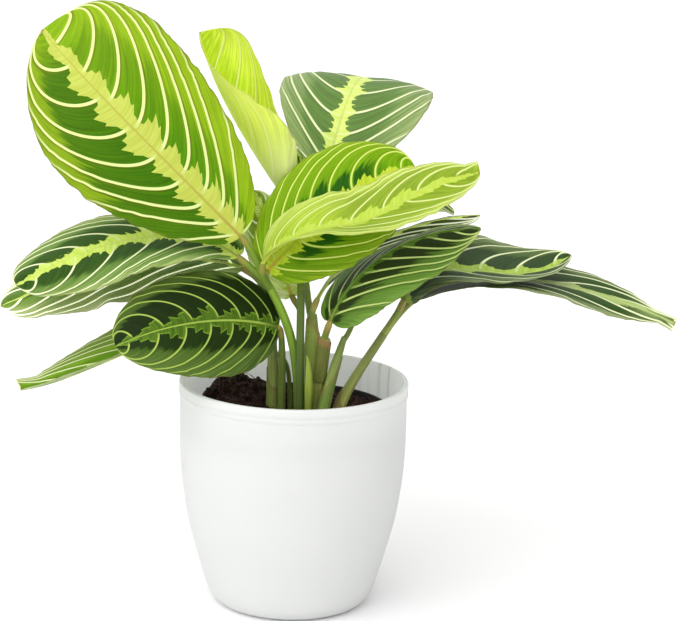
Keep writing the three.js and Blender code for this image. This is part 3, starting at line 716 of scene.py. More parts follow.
class LeafShade(Shade):
    """A blade's skin. The mesh keeps, at every corner, the number of side veins passed, the gap
    between two and the distance from the midrib, and the shares along and across and the half."""

    def __init__(self, name, look, seed):
        super().__init__(name)
        self.look = look
        self.colour = {k: rgb(*v) for k, v in look.items() if isinstance(v, tuple) and len(v) == 3}
        phase, self.gap, self.dist = self.split(self.attribute("vein"))
        self.along, self.across, self.side = self.split(self.attribute("where"))
        self.part = self.math("FRACT", phase)
        self.chance = self.speckle(self.combine(self.math("FLOOR", phase), self.side, seed))
        tag = self.side * 3.7 + seed * 1.31

        def strands(count, spread, detail=2.0, rough=0.5):
            """Noise drawn out along the side veins."""
            return self.noise(self.combine(phase * count, self.across * spread, tag), 1.0, detail, rough)

        self.streak = strands(6, 1.6, 3, 0.6)
        self.lines = self.step(strands(15, 1.1), 0.32, 0.68)
        self.fine = self.step(strands(38, 3), 0.3, 0.7)

    def halves(self, key):
        """A number of the look for the half at hand, out of one or a pair."""
        value = self.look[key]
        left, right = several(value, 2)
        return left if left == right else left + self.side * (right - left)

    def past_feather(self):
        """Distance out from the feather's ragged edge, which has a lobe between each two veins."""
        jitter = self.part + (self.chance - 0.5) * 0.2 * self.math("SINE", self.part * math.pi)
        teeth = self.curve(jitter, TEETH[self.look["teeth"]])
        reach = self.curve(self.along, TAPER) * self.halves("feather_mm") * (0.76 + self.chance * 0.48)
        ragged = (self.grain(170, 2, 0.6) - 0.5) * 3.0
        return self.dist - (reach * teeth + ragged)

    def blotches(self, outside):
        """The dark marks between the veins, next to the feather."""
        limit = self.halves("reach") + (self.streak - 0.5) * self.look["soft"] + (self.chance - 0.5) * 0.12
        limit = limit + self.halves("lean") * (0.5 - self.along)
        blotch = self.step(self.across - limit, 0.06, -0.06) * self.halves("strength")
        start, full, fall, end = self.look["span"]
        blotch = blotch * (self.step(self.along, start, full) * self.step(self.along, end, fall))
        if self.look.get("lenses"):
            inside = self.step(self.part, 0.04, 0.14) * self.step(self.part, 0.97, 0.86)
            blotch = blotch * (inside * self.step(outside, 9.5, 6.5))
        return blotch

    def blade(self, outside, shadow):
        """The green between the veins."""
        colour, lines = self.colour, self.lines
        frayed = self.across + (self.streak - 0.5) * 0.6
        inner = colour["inner"]
        if "far" in colour:
            inner = self.mix(self.step(self.along, 0.4, 0.8), inner, colour["far"])
        body = self.mix(self.step(frayed, 0.12, 0.85), inner, colour["outer"])
        body = self.mix(lines * self.step(frayed, 0.35, 1.0, 0.0, 0.6), body, colour["margin"])
        body = self.mix(self.step(frayed, 0.84, 1.04), body, colour["margin"])
        body = self.mix(self.blotches(outside), body, colour["blotch"])
        body = self.mix(shadow, body, colour["shade"])
        lightness = (0.48 + lines * 0.26) + (self.streak * 0.3 + self.fine * 0.2)
        mottle = self.grain(55, 3) * 0.18 + self.grain(260, 3, 0.6) * 0.14
        # Tint raises or lowers a half's lightness; on leaf_left_lower's right half it is painted light.
        return self.scale(body, (lightness + mottle) * self.halves("tint"))

    def feather_with_painted_folds(self, outside):
        """The feather's colour, light and dark along the veins, with deep as painted shade in its folds."""
        fold = self.lines * 0.25 + self.streak * 0.75
        pale = self.mix(self.step(fold, 0.36, 0.6), self.colour["deep"], self.colour["feather"])
        if "edge" in self.colour:
            pale = self.mix(self.step(outside, -1.0, -0.3) * 0.8, pale, self.colour["edge"])
        return pale

    def midrib_edge_tip(self, skin):
        half_rib = (1.0 - self.along) * 0.6 + 0.16
        rib = self.step(self.dist - half_rib, 0.2, -0.15)
        rib_colour = self.mix(self.step(self.along, 0.02, 0.16), self.colour["stalk"], self.colour["rib"])
        skin = self.mix(rib * 0.75, skin, rib_colour)
        skin = self.mix(self.step(self.across, 0.975, 0.995) * 0.4, skin, MARGIN_BROWN)
        tip = self.step(self.along, 0.988, 0.998) * self.step(self.dist, 1.4, 0.5)
        return self.mix(tip * 0.7, skin, TIP_BROWN)

    def underside(self, skin):
        back = self.colour["under"]
        # A look's base colour, near-white toward the stalk, is a painted highlight.
        if "base" in self.colour:
            back = self.mix(self.step(self.along, 0.1, 0.5), self.colour["base"], back)
        return self.mix(self.look.get("pale_under", 0.45), skin, back)


def leaf_material(name, look, seed, under):
    m = LeafShade(name, look, seed)
    outside = m.past_feather()
    feather = m.step(outside, 0.2, -0.2)
    half_vein = (1.0 - m.across * 0.5) * (look["vein_mm"] / 2)
    near = m.math("MINIMUM", m.part, 1.0 - m.part) * m.gap
    vein = m.step(near - half_vein, 0.16, -0.12)
    vein = vein * (m.step(m.dist, 0.5, 2.5) * m.step(m.across, 1.0, 0.9, 0.45, 1.0))
    shadow = m.step((1.0 - m.part) * m.gap - half_vein, 1.3, 0.1) * look["shadow"]
    skin = m.mix(feather, m.blade(outside, shadow), m.feather_with_painted_folds(outside))
    skin = m.mix(vein * (1.0 - feather * 0.6), skin, m.colour["vein"])
    skin = m.midrib_edge_tip(skin)
    if under:
        skin = m.underside(skin)
    grain = m.grain(900, 2)
    lift = m.step(near, 1.8, 0.0) * 0.12 + (m.fine + m.lines) * 0.035 + grain * 0.03
    smoothest, roughest = (0.5, 0.62) if under else (0.4, 0.54)
    rough = m.step(grain, 0.2, 0.8, smoothest, roughest)
    # The veins' glow is emission that brightens them in the shade of the leaf above: painted light.
    shine = vein * look["shine"] if "shine" in look else 0.0
    return m.finish(skin, rough, m.bump(lift, 0.7), look["glow"], shine, look["gloss"])


for number, (name, leaf) in enumerate(LEAVES.items()):
    look = leaf["look"]
    faces = [("top", False), ("under", True)]
    materials = [leaf_material(f"{name}_{face}", look, number, under) for face, under in faces]
    blade = build_leaf(f"{name}_blade", leaf, 11 + number, materials)
    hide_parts(name)


# Stems. The same curves as the solids, fused into one skin each.

ROOT = 100


def stalk(leaf_name, start, leave, radii, reach):
    """A leaf's stalk. It sets out toward one point and runs into the midrib along its direction."""
    midrib = LEAVES[leaf_name]["midrib"]
    along = bezier_slope(midrib, [0.0])[0]
    end = np.array(midrib[0], float) + along
    return limb([start, leave, tuple(end - along * (reach + 1.0)), tuple(end)], radii, True)


def limb(path, radii, is_stalk=False):
    return {"path": path, "radii": radii, "is_stalk": is_stalk}


def new_stem(low, high, *limbs, slot="green_stem"):
    """A stem, with its colours at the foot and at the top. The foot colours are the stem's own, painted
    lighter as painted light where the pot shades the feet.
    """
    return {"low": low, "high": high, "limbs": limbs, "slot": slot}


STEMS = {
    "stem_front": new_stem(
        (104, 138, 40), (134, 170, 46),
        limb([(3, -4, ROOT), (3, -4, 146), (-2, -8, 164), (-17, -12, 190)], [2.9, 2.7, 2.5, 2.5, 2.2]),
        stalk("leaf_great", (-15, -12, 186), (-20, -14, 196), [2.2, 1.8, 1.9, 1.5], 9),
        stalk("leaf_left_upper", (-14, -11, 184), (-18, -12, 192), [2, 1.8, 1.9, 1.5], 6),
        stalk("leaf_centre", (-14, -11, 184), (-18, -12, 190), [2, 1.6, 1.5], 3),
        stalk("leaf_lime", (-15, -12, 186), (-19, -15, 191), [2, 1.6, 1.5], 4),
    ),
    "stem_tall": new_stem(
        (70, 90, 28), (90, 112, 40),
        limb([(4, -13, ROOT), (3, -14, 140), (3, -10, 160), (3, -5, 189)], [2.6, 2.5, 2.3, 2.2]),
        stalk("leaf_back", (3, -6, 184), (3, -2, 208), [2.2, 1.8, 1.8, 1.5], 16),
        stalk("leaf_behind_lime", (3, -7, 168), (3, -3, 173), [1.8, 1.5, 1.5], 5),
    ),
    "stem_sheathed": new_stem(
        (140, 158, 76), (130, 150, 66),
        limb([(11, 2, ROOT), (10.5, 2, 130), (10.4, 1, 150), (9.5, 0, 168)], [3.7, 4.2, 4.4, 2.8]),
        stalk("leaf_right_fold", (9.5, 0, 165), (9, -2, 169), [2.2, 1.8, 1.5], 7),
        stalk("leaf_rolled", (9.6, 0, 164), (4.5, 4, 180), [2.2, 1.9, 1.8, 1.5], 14),
        stalk("leaf_behind_small", (3, 11.3, 203), (6, 16, 207), [1.6, 1.3, 1.2], 7),
    ),
    "stem_stub": new_stem(
        (116, 132, 54), (150, 146, 74),
        limb([(13, -8, ROOT), (13, -8, 125), (15, -9, 140), (16.5, -11, 157)], [3, 3.2, 3.5, 3.6]),
        stalk("leaf_right_front", (16, -11, 152), (17, -12, 160), [2.2, 1.9, 1.5], 5),
    ),
    "stem_right_inner": new_stem(
        (146, 164, 84), (130, 148, 70),
        limb([(14.5, -19, ROOT), (16, -17, 120), (23, -9, 142), (28, -3, 156)], [2.8, 3.2, 2.8, 1.7]),
        stalk("leaf_behind_right", (27.5, -4, 154), (41, 12, 170), [1.6, 1.5, 1.5, 1.3], 16),
    ),
    "stem_right": new_stem(
        (182, 188, 96), (132, 142, 72),
        limb([(23, -3, ROOT), (24, -3, 118), (36, 0, 134), (50, 3, 156)], [3.3, 3.3, 2.7, 2.4]),
        stalk("leaf_right_upper", (49, 3, 154.5), (54, 4, 162), [2.4, 2.1, 1.6], 7),
        stalk("leaf_right_far", (49, 3, 154.5), (55, 7, 163), [2.2, 1.9, 1.5], 6),
    ),
    "stem_left": new_stem(
        (150, 162, 84), (140, 156, 80),
        limb([(-12, 2, ROOT), (-12, 2, 125), (-12, 2, 140), (-13, 2, 160)], [3.4, 3.3, 3, 2.2]),
        stalk("leaf_left_lower", (-12.8, 2, 157), (-14, 2, 180), [2.1, 1.7, 1.9, 1.5], 12),
        slot="young_stem",
    ),
    "stem_left_dark": new_stem(
        (66, 78, 26), (80, 98, 36),
        stalk("leaf_front", (-6.9, -2.8, ROOT), (-7.2, -2.8, 145), [2.5, 2.4, 2, 1.6, 1.5], 4),
        slot="dark_stem",
    ),
    "stem_left_thin": new_stem(
        (64, 72, 34), (84, 98, 44),
        stalk("leaf_left_low", (-2, 3.5, ROOT), (-2, 4, 145), [1.5, 1.4, 1.3, 1.3, 1.5], 12),
        slot="dark_stem",
    ),
    "young_shoot": new_stem(
        (118, 136, 42), (156, 176, 60),
        limb([(8, -18, ROOT), (8, -18, 125), (9.3, -18.5, 138), (6.8, -18, 149)], [1.9, 2, 2.5, 1.8, 0.4]),
        slot="young_stem",
    ),
}
STALK_GREEN, JOINT_TAN, SCAR_BROWN = rgb(124, 148, 50), rgb(188, 150, 84), rgb(112, 74, 40)


def radius_along(one, u):
    return np.interp(u * (len(one["radii"]) - 1), np.arange(len(one["radii"])), one["radii"])


def limb_rings(one, spacing=0.8):
    """Centres, directions, radii, shares along and distances to the end of a limb."""
    _, run = lengths_along(one["path"])
    u = np.linspace(0, 1, max(10, int(run[-1] / spacing)) + 1)
    to_end = run[-1] - np.interp(u, np.linspace(0, 1, len(run)), run)
    radii = radius_along(one, u)
    if one["is_stalk"]:
        radii = radii + 0.3 * np.exp(-(((to_end - 4) / 3.5) ** 2))
    return bezier(one["path"], u), bezier_slope(one["path"], u), radii, u, to_end


def tube(centres, along, radii, sides=24):
    side = np.array([1.0, 0, 0]) if abs(along[0][0]) < 0.9 else np.array([0, 1.0, 0])
    turn = ring_angles(sides)
    points, faces = [], []
    for k, (c, d, r) in enumerate(zip(centres, along, radii)):
        side = unit(side - d * (side @ d))
        up = np.cross(d, side)
        points.append(c + r * (np.cos(turn)[:, None] * side + np.sin(turn)[:, None] * up))
        if k:
            faces += band((k - 1) * sides, k * sides, sides)
    last = (len(centres) - 1) * sides
    faces += [tuple(range(sides - 1, -1, -1)), tuple(last + i for i in range(sides))]
    return np.concatenate(points), faces


def fused(name, parts, voxel):
    """One closed skin round several overlapping tubes."""
    rough = linked(name + "_raw", new_mesh(name + "_raw", *joined(parts)))
    remesh = rough.modifiers.new("skin", "REMESH")
    remesh.mode, remesh.voxel_size = "VOXEL", voxel * MM
    relax = rough.modifiers.new("relax", "SMOOTH")
    relax.factor, relax.iterations = 0.5, 5
    graph = bpy.context.evaluated_depsgraph_get()
    mesh = bpy.data.meshes.new_from_object(rough.evaluated_get(graph))
    bpy.data.objects.remove(rough)
    mesh.polygons.foreach_set("use_smooth", np.ones(len(mesh.polygons), bool))
    return mesh


def stem_material(name, stem):
    """The mesh keeps the share along, the distance to the end and whether the limb is a leaf's
    stalk, and the direction out from the limb's middle."""
    m = Shade(name)
    share, to_end, is_stalk = m.split(m.attribute("stalk"))
    shifted = m.vector_math("ADD", {0: m.attribute("round"), 1: m.combine(0, 0, share * 0.5)})
    lines = m.step(m.noise(shifted, 6, 3, 0.6), 0.34, 0.66)
    grain = m.grain(1500, 2)
    # The foot colours carry painted light: they are lighter than the stems' own where the pot shades them.
    skin = m.mix(m.step(share, 0.0, 0.9), rgb(*stem["low"]), rgb(*stem["high"]))
    skin = m.mix(is_stalk * 0.5, skin, STALK_GREEN)
    skin = m.mix(m.step(to_end, 8.5, 5.5) * is_stalk * 0.45, skin, JOINT_TAN)
    skin = m.scale(skin, 0.72 + (lines * 0.36 + m.grain(90, 3) * 0.22))
    scars = m.step(m.grain(420, 3), 0.66, 0.74) * m.step(share, 0.5, 0.1)
    skin = m.mix(scars * 0.6, skin, SCAR_BROWN)
    normal = m.bump(lines * 0.35 + grain * 0.03, 0.6)
    return m.finish(skin, m.step(grain, 0.2, 0.8, 0.4, 0.52), normal, gloss=0.4)


def build_stem(name, stem):
    rings = [limb_rings(one) for one in stem["limbs"]]
    mesh = fused(name, [tube(*ring[:3]) for ring in rings], 0.42)
    mesh.name = name + "_skin"
    mesh.materials.clear()
    mesh.materials.append(stem_material(name + "_skin", stem))
    co = np.zeros(len(mesh.vertices) * 3)
    mesh.vertices.foreach_get("co", co)
    co = co.reshape(-1, 3) / MM
    centres, _, radii, share, to_end = [np.concatenate(column) for column in zip(*rings)]
    is_stalk = np.repeat([one["is_stalk"] for one in stem["limbs"]], [len(ring[0]) for ring in rings])
    stalks, rounds = np.zeros_like(co), np.zeros_like(co)
    for i in range(0, len(co), 2000):
        away = co[i : i + 2000, None] - centres[None]
        best = (np.linalg.norm(away, axis=2) - radii[None]).argmin(1)
        stalks[i : i + 2000] = np.stack([share[best], to_end[best], is_stalk[best]], 1)
        rounds[i : i + 2000] = away[np.arange(len(best)), best] / radii[best][:, None]
    add_attribute(mesh, "stalk", stalks, "POINT")
    add_attribute(mesh, "round", rounds, "POINT")
    obj = linked(name + "_skin", mesh)
    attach(obj, "root")
    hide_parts(name)


for name, stem in STEMS.items():
    build_stem(name, stem)


# Dry sheaths wrapped round the stems, each from one share of a stem's first limb to another.
# The tip is the side, in degrees, that rises highest, and drop how far the other side falls.

SHEATHS = {
    "stem_stub": dict(start=0.5, end=1.03, tip=200, drop=3.5, ragged=1.7,
                      colour=(116, 124, 54), rim=(172, 128, 84)),
    "stem_sheathed": dict(start=0.3, end=0.99, tip=230, drop=16, ragged=0.6,
                          colour=(172, 194, 92), rim=(160, 142, 80)),
    "stem_right": dict(start=0.14, end=0.46, tip=160, drop=12, ragged=0.7,
                       colour=(168, 158, 92), rim=(166, 134, 84)),
    "stem_right_inner": dict(start=0.1, end=0.8, tip=20, drop=22, ragged=0.5,
                             colour=(120, 146, 62), rim=(150, 138, 76)),
    "stem_left": dict(start=0.1, end=0.62, tip=120, drop=14, ragged=0.8,
                      colour=(144, 158, 80), rim=(150, 142, 78)),
}
LAP_TURN, LAP_WIDTH = 2.6, 0.12  # where the edge laps over, from the tip, and how narrowly, in radians


def sheath_material(name, sheath):
    m = Shade(name)
    k, x, y = m.split(m.attribute("sheath"))
    lines = m.step(m.noise(m.combine(x * 7, y * 7, k * 1.2), 1.0, 3, 0.6), 0.32, 0.68)
    spots = m.step(m.grain(480, 3, 0.6), 0.6, 0.72)
    skin = m.mix(m.step(k + lines * 0.12, 0.86, 1.06), rgb(*sheath["colour"]), rgb(*sheath["rim"]))
    skin = m.mix(spots * 0.35, skin, rgb(124, 84, 46))
    skin = m.scale(skin, 0.74 + lines * 0.42)
    return m.finish(skin, 0.55, m.bump(lines * 0.3, 0.7), 0.15, gloss=0.3)


def build_sheath(name, sheath, seed, rows=44, sides=72):
    """A thin closed tube with an uneven upper edge, worn loosely."""
    rng = np.random.RandomState(seed)
    one, turn, tip = STEMS[name]["limbs"][0], ring_angles(sides), math.radians(sheath["tip"])
    length = lengths_along(one["path"])[1][-1]
    bites = rng.uniform(0, 1, sides // 3)
    bite = np.interp(np.arange(sides), np.arange(0, sides + 3, 3), np.append(bites, bites[0]))
    fall = sheath["drop"] * (0.5 - 0.5 * np.cos(turn - tip)) ** 0.8 + sheath["ragged"] * bite
    upper = sheath["end"] - fall / length
    k = (np.arange(rows + 1) / rows)[:, None]
    share = (sheath["start"] + (upper - sheath["start"]) * k).ravel()
    k = np.repeat(k.ravel(), sides)
    u, angle = np.clip(share, 0, 1), np.tile(turn, rows + 1)
    along = bezier_slope(one["path"], u)
    centre = bezier(one["path"], u) + along * (np.maximum(share - 1, 0) * length)[:, None]
    side = unit(np.array([1.0, 0, 0]) - along * along[:, :1])
    out = side * np.cos(angle)[:, None] + np.cross(along, side) * np.sin(angle)[:, None]
    inner_radius = radius_along(one, u) + (0.12 + 0.3 * k**3 * (0.6 + 0.5 * np.sin(3 * angle + seed)))
    from_lap = np.mod(angle - tip - LAP_TURN + np.pi, 2 * np.pi) - np.pi
    lap = 0.22 * np.exp(-((from_lap / LAP_WIDTH) ** 2))
    outer = centre + out * (inner_radius + (0.3 - 0.16 * k) + lap)[:, None]
    inner = centre + out * inner_radius[:, None]
    count, top, faces = len(outer), rows * sides, []
    for r in range(0, top, sides):
        faces += band(r, r + sides, sides) + band(count + r, count + r + sides, sides, inward=True)
    faces += band(top, count + top, sides) + band(count, 0, sides)
    material = sheath_material(name + "_sheath", sheath)
    obj = new_object(name + "_sheath", np.concatenate([outer, inner]), faces, [material])
    field = np.stack([k, np.cos(angle), np.sin(angle)], -1)
    add_attribute(obj.data, "sheath", np.concatenate([field, field]), "POINT")


for number, (name, sheath) in enumerate(SHEATHS.items()):
    build_sheath(name, sheath, 40 + number)


# Pots

POT_HEIGHT, RIM, FOOT, WALL, FLOOR = 130, 65, 38.5, 2.5, 3
RIM_STEP, BAND = 0.6, 8
BAND_Z, GROOVE_Z, GROOVE_DEPTH = POT_HEIGHT - BAND, 124.2, 0.22
# Shares of the height, and the radius there
POT_OUTLINE = [(0.02, 44.2), (0.05, 47), (0.09, 49.1), (0.15, 51.4), (0.25, 55.1), (0.37, 59.1),
               (0.5, 62), (0.65, 64), (0.8, RIM - RIM_STEP), (0.93, RIM - RIM_STEP)]
NURSERY_RIM, NURSERY_FOOT, NURSERY_TOP, NURSERY_WALL, NURSERY_BASE = 56, 37, 113, 1.2, 3.4


def arc(cx, cz, r, start, end, steps=8):
    turn = np.radians(np.linspace(start, end, steps + 1))
    return [(cx + r * math.cos(a), cz + r * math.sin(a)) for a in turn]


def round_lip(outer, wall, top, outer_r, inner_r, steps):
    """The rounded top of a wall, from its outer face over to its inner face."""
    over = arc(outer - outer_r, top - outer_r, outer_r, 0, 90, steps[0])
    return over + arc(outer - wall + inner_r, top - inner_r, inner_r, 90, 180, steps[1])


def rounded(points, steps):
    """A smooth line through the points."""
    p = np.array([points[0], *points, points[-1]], float)
    line = []
    for a, b, c, d in zip(p, p[1:], p[2:], p[3:]):
        for x in np.arange(steps) / steps:
            square, cube = 2 * a - 5 * b + 4 * c - d, 3 * b - a - 3 * c + d
            line.append(tuple(0.5 * (2 * b + (c - a) * x + square * x * x + cube * x**3)))
    return line + [tuple(points[-1])]


def plastic(name, colour, rough, speck, glow=0.0, inside=None):
    """Plain plastic. A second colour for inside is for the upper wall's inner face, more polished, and
    painted lighter there as painted light, with faint streaks of painted reflection of the stems.
    """
    m = Shade(name)
    grain, cloud = m.grain(2600, 2), m.grain(30, 3)
    skin = m.scale(colour, 0.985 + cloud * 0.03)
    dust = m.step(m.grain(700, 4), 0.74, 0.8, 0.0, speck)
    skin = m.mix(dust, skin, tuple(0.75 * c for c in colour))
    normal = m.bump(grain * 0.012 + m.grain(120, 1) * 0.02, 0.5)
    finish = m.step(cloud, 0.3, 0.7, rough - 0.03, rough + 0.04)
    if inside:
        x, y, z = m.split(m.place())
        radius = m.math("SQRT", x * x + y * y)
        within = m.step(radius, (RIM - 0.8) * MM, (RIM - 1.6) * MM) * m.step(z, 100 * MM, 104 * MM)
        turn = m.math("ARCTAN2", y, x)
        # Faint grey streaks on the inner face are painted reflections of the stems.
        painted_stem_reflections = m.step(m.noise(m.combine(turn * 13, 0.0, z * 8), 1.0, 1), 0.46, 0.72)
        painted_stem_reflections = painted_stem_reflections * (m.step(turn, 0.3, 0.5) * m.step(turn, 1.05, 0.85))
        # The inner face's lighter colour is painted light.
        skin = m.mix(within, skin, inside)
        skin = m.mix(within * (painted_stem_reflections * 0.35), skin, rgb(178, 182, 172))
        finish = finish * m.step(within, 0.0, 1.0, 1.0, 0.3)
        glow = m.step(within, 0.0, 1.0, glow, 0.62)
    return m.finish(skin, finish, normal, glow)


def cover_pot_line():
    """The cover pot's section: the raised underside, the foot, the wall, the rim's band with its
    groove, the lip and the inside."""
    wall = rounded([(r, share * POT_HEIGHT) for share, r in POT_OUTLINE], 5)
    inside = rounded([(r - WALL, share * POT_HEIGHT) for share, r in POT_OUTLINE[:0:-1]], 5)
    foot = [(0, 1.2), (33, 1.2), (34.5, 0.2), (35.5, 0), (FOOT, 0), (40.5, 0.35), (42.6, 1.3)]
    step = [(RIM - RIM_STEP, BAND_Z - 0.5), (RIM - 0.2, BAND_Z), (RIM, BAND_Z + 0.4)]
    bottom = RIM - GROOVE_DEPTH
    groove = [(RIM, GROOVE_Z), (bottom, GROOVE_Z + 0.25), (bottom, GROOVE_Z + 0.5), (RIM, GROOVE_Z + 0.75)]
    lip = [(RIM, POT_HEIGHT - 3)] + round_lip(RIM, WALL, POT_HEIGHT, 0.9, 0.7, (8, 6))
    return foot + wall + step + groove + lip + inside + [(43, 4.2), (41, FLOOR), (0, FLOOR)]


def nursery_pot_line():
    rim, foot, top, wall, base = NURSERY_RIM, NURSERY_FOOT, NURSERY_TOP, NURSERY_WALL, NURSERY_BASE
    line = [(0, base), (foot, base), (foot + 2, 6.3), (rim - 1.6, top - 8.2), (rim - 0.3, top - 7.2),
            (rim, top - 6.6), (rim, top - 1.2)]
    line += round_lip(rim, wall, top, 0.5, 0.4, (4, 4))
    line += [(rim - wall, top - 6), (rim - 1.6 - wall, top - 9), (foot + 2 - wall, 7.3), (foot - wall, 4.8)]
    return line + [(0, 4.8)]


# The inner face's colour, lighter than the outside, is painted light inside the pot.
white = plastic("white_plastic", rgb(243, 244, 243), 0.36, 0.15, 0.38, rgb(253, 254, 253))
cover = revolved("cover_pot_shell", cover_pot_line(), 160, white)
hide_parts("cover_pot")

black = plastic("black_plastic", rgb(30, 31, 33), 0.42, 0.5)
nursery = revolved("nursery_pot_shell", nursery_pot_line(), 128, black)
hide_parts("nursery_pot")


# Soil

SOIL_Z, SOIL_EDGE, SOIL_FOOT, SOIL_FOOT_Z = 110, 53.0, 37.4, 8.0


def soil_height(x, y):
    heap = 11 * np.exp(-(((x + 36) / 26) ** 2) - ((y - 34) / 24) ** 2)
    left = 5 * np.clip(-x / 50, 0, 1) * np.clip(1 - np.abs(y) / 60, 0, 1)
    lumps = 0.8 * np.sin(x * 0.31 + 1) * np.cos(y * 0.27) + 0.5 * np.sin(x * 0.13 - y * 0.41)
    return SOIL_Z + heap + left + lumps


def soil_relief(x, y):
    lumps = ((1.3, 6), (0.9, 2.8), (0.55, 1.3))  # heights and widths
    return sum(h * lattice_noise(x / w, y / w, 3 + k) for k, (h, w) in enumerate(lumps)) - 0.6


def soil_material():
    m = Shade("soil")
    lumps, fine = m.grain(260, 4, 0.65), m.grain(1400, 4, 0.7)
    skin = m.mix(m.step(lumps, 0.3, 0.72), rgb(20, 12, 11), rgb(82, 50, 43))
    # The small light flecks of 138, 96, 80 are painted highlights on the crumbs.
    skin = m.mix(m.step(fine, 0.58, 0.72) * 0.6, skin, rgb(138, 96, 80))
    skin = m.scale(skin, 0.5 + m.grain(60, 3) * 0.6)
    normal = m.bump(lumps * 0.9 + fine * 0.5, 0.9)
    return m.finish(skin, m.step(lumps, 0.3, 0.8, 0.95, 0.7), normal, gloss=0.3)


def fibre_material():
    m = Shade("fibre")
    skin = m.mix(m.grain(300, 3), rgb(46, 30, 22), rgb(120, 88, 60))
    return m.finish(skin, 0.85, m.bump(m.grain(2500, 3) * 0.1, 0.6))


def soil_bed(material, rings=110, sides=300):
    r = SOIL_EDGE * np.arange(1, rings + 1) / rings
    turn = ring_angles(sides)
    x, y = r[:, None] * np.cos(turn), r[:, None] * np.sin(turn)
    z = soil_height(x, y) + soil_relief(x, y) * (1 - smooth(np.hypot(x, y), SOIL_EDGE - 3, SOIL_EDGE))
    top = np.stack([x, y, z], -1).reshape(-1, 3)
    foot = np.stack([SOIL_FOOT * np.cos(turn), SOIL_FOOT * np.sin(turn), np.full(sides, SOIL_FOOT_Z)], -1)
    points = np.concatenate([[[0, 0, soil_height(0, 0)]], top, foot, [[0, 0, SOIL_FOOT_Z]]])
    faces = [face[::-1] for face in fan(0, 1, sides)]
    for k in range(rings):
        faces += band(1 + k * sides, 1 + (k + 1) * sides, sides, inward=True)
    faces += fan(len(points) - 1, 1 + rings * sides, sides)
    return new_object("soil_bed", points, faces, [material])


def ball():
    mesh = bmesh.new()
    bmesh.ops.create_icosphere(mesh, subdivisions=2, radius=1)
    points = np.array([v.co[:] for v in mesh.verts])
    faces = [[v.index for v in f.verts] for f in mesh.faces]
    mesh.free()
    return points, faces


def scattered(rng, reach):
    """A random place on the soil, within reach of the pot's middle."""
    r, a = reach * math.sqrt(rng.uniform()), rng.uniform(0, 2 * math.pi)
    return r * math.cos(a), r * math.sin(a)


def soil_crumbs(material, count=1500):
    rng = np.random.RandomState(21)
    points, faces = ball()
    parts = []
    for _ in range(count):
        x, y = scattered(rng, SOIL_EDGE - 2.2)
        size = 0.45 + 1.9 * rng.uniform() ** 2.4
        lumpy = points * (1 + 0.34 * rng.uniform(-1, 1, (len(points), 1)))
        shaped = lumpy * size * rng.uniform(0.6, 1.25, 3)
        spin = np.array(Matrix.Rotation(rng.uniform(0, 6.28), 3, Vector(rng.normal(size=3))))
        z = float(soil_height(x, y) + soil_relief(x, y)) + size * rng.uniform(-0.1, 0.7)
        parts.append((shaped @ spin.T + np.array([x, y, z]), faces))
    return new_object("soil_crumbs", *joined(parts), [material])


def soil_fibres(material, count=200):
    rng = np.random.RandomState(5)
    u = np.linspace(0, 1, 7)
    parts = []
    for _ in range(count):
        x, y = scattered(rng, SOIL_EDGE - 4)
        start = np.array([x, y, float(soil_height(x, y)) + rng.uniform(0, 1.2)])
        heading, length = rng.uniform(0, 2 * math.pi), rng.uniform(3, 10)
        step = np.array([math.cos(heading), math.sin(heading), rng.uniform(-0.1, 0.75)]) * length / 3
        bend = rng.normal(size=3) * 0.6
        path = [start, start + step + bend, start + 2 * step - bend, start + 3 * step]
        parts.append(tube(bezier(path, u), bezier_slope(path, u), 0.16 * (1.1 - u) + 0.05, 5))
    return new_object("soil_fibres", *joined(parts), [material])


earth = soil_material()
bed = soil_bed(earth)
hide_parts("soil")
for piece in (bed, soil_crumbs(earth), soil_fibres(fibre_material())):
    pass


# Studio: a pale floor, a surround that is a little brighter on the left, and one broad key light

floor_mesh = bpy.data.meshes.new("studio_floor")
corners = [(-14, -6), (14, -6), (14, 22), (-14, 22)]
floor_mesh.from_pydata([(x, y, -0.0002) for x, y in corners], [], [(0, 1, 2, 3)])
floor_mesh.materials.append(Shade("floor_paper").finish(rgb(250, 250, 250), 0.9))
studio_floor = linked("studio_floor", floor_mesh)

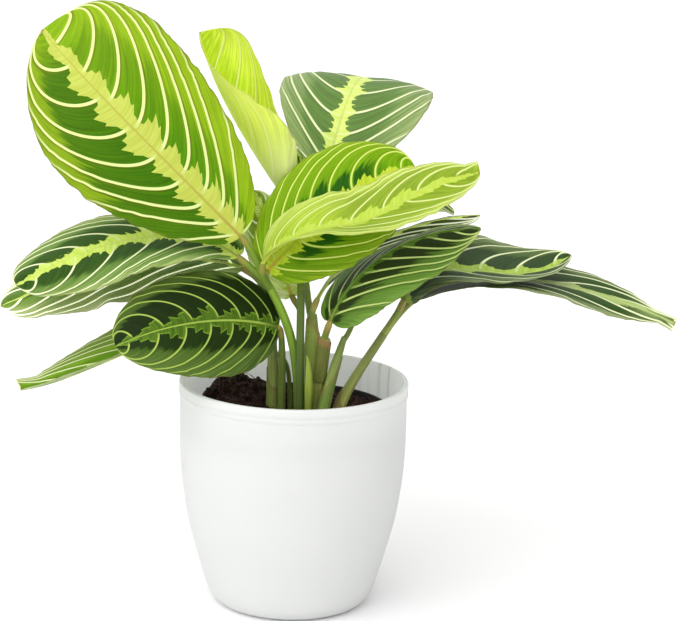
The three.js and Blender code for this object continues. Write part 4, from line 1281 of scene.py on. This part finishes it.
sky = Shade("studio", bpy.data.worlds)
lean = sky.vector_math("DOT_PRODUCT", {0: sky.place("Generated"), 1: (-0.3, -0.06, 0.1)}, "Value")
light = sky.put("ShaderNodeBackground", {"Color": (1, 1, 1, 1), "Strength": lean + 0.98})
sky.node("ShaderNodeOutputWorld", {"Surface": light})
bpy.context.scene.world = sky.owner

key_light = bpy.data.lights.new("key", "SUN")
key_light.energy, key_light.angle = 1.15, math.radians(60)
key = linked("key", key_light)
key.rotation_mode = "QUATERNION"
key.rotation_quaternion = Vector((0.42, 0.75, -0.8)).to_track_quat("-Z", "Y")


# Camera, 1.4 m from the pot's rim and 15 degrees above it

DISTANCE, ELEVATION, ROLL = 1.4, math.radians(15.21), math.radians(1.34)
FOCAL_PX, WIDTH_PX, HEIGHT_PX = 2467.0, 679.0, 621.0
RIM_PX = (294.03, 379.1)  # where the rim's centre falls in the picture
SENSOR_MM = 36


def camera_axes():
    """The camera's place and its right, up and forward directions."""
    target = Vector((0, 0, POT_HEIGHT * MM))
    ray = Vector((0, math.cos(ELEVATION), -math.sin(ELEVATION)))
    yaw, pitch = 0.0, -ELEVATION
    for _ in range(20):
        level = math.cos(pitch)
        forward = Vector((math.sin(yaw) * level, math.cos(yaw) * level, math.sin(pitch)))
        right = forward.cross(Vector((0, 0, 1))).normalized()
        up = right.cross(forward)
        turned = right * math.cos(ROLL) + up * math.sin(ROLL)
        raised = up * math.cos(ROLL) - right * math.sin(ROLL)
        u = WIDTH_PX / 2 + FOCAL_PX * ray.dot(turned) / ray.dot(forward)
        v = HEIGHT_PX / 2 - FOCAL_PX * ray.dot(raised) / ray.dot(forward)
        yaw -= (RIM_PX[0] - u) / FOCAL_PX
        pitch += (RIM_PX[1] - v) / FOCAL_PX
    return target - ray * DISTANCE, turned, raised, forward


eye, right, up, forward = camera_axes()
camera_data = bpy.data.cameras.new("camera")
camera_data.sensor_fit, camera_data.sensor_width = "HORIZONTAL", SENSOR_MM
camera_data.lens = FOCAL_PX / WIDTH_PX * SENSOR_MM
camera_data.clip_end = 100
camera = linked("camera", camera_data)
axes = [(*row, 0) for row in (right, up, -forward)] + [(*eye, 1)]
camera.matrix_world = Matrix(axes).transposed()
bpy.context.scene.camera = camera
bpy.context.scene.view_settings.view_transform = "Standard"
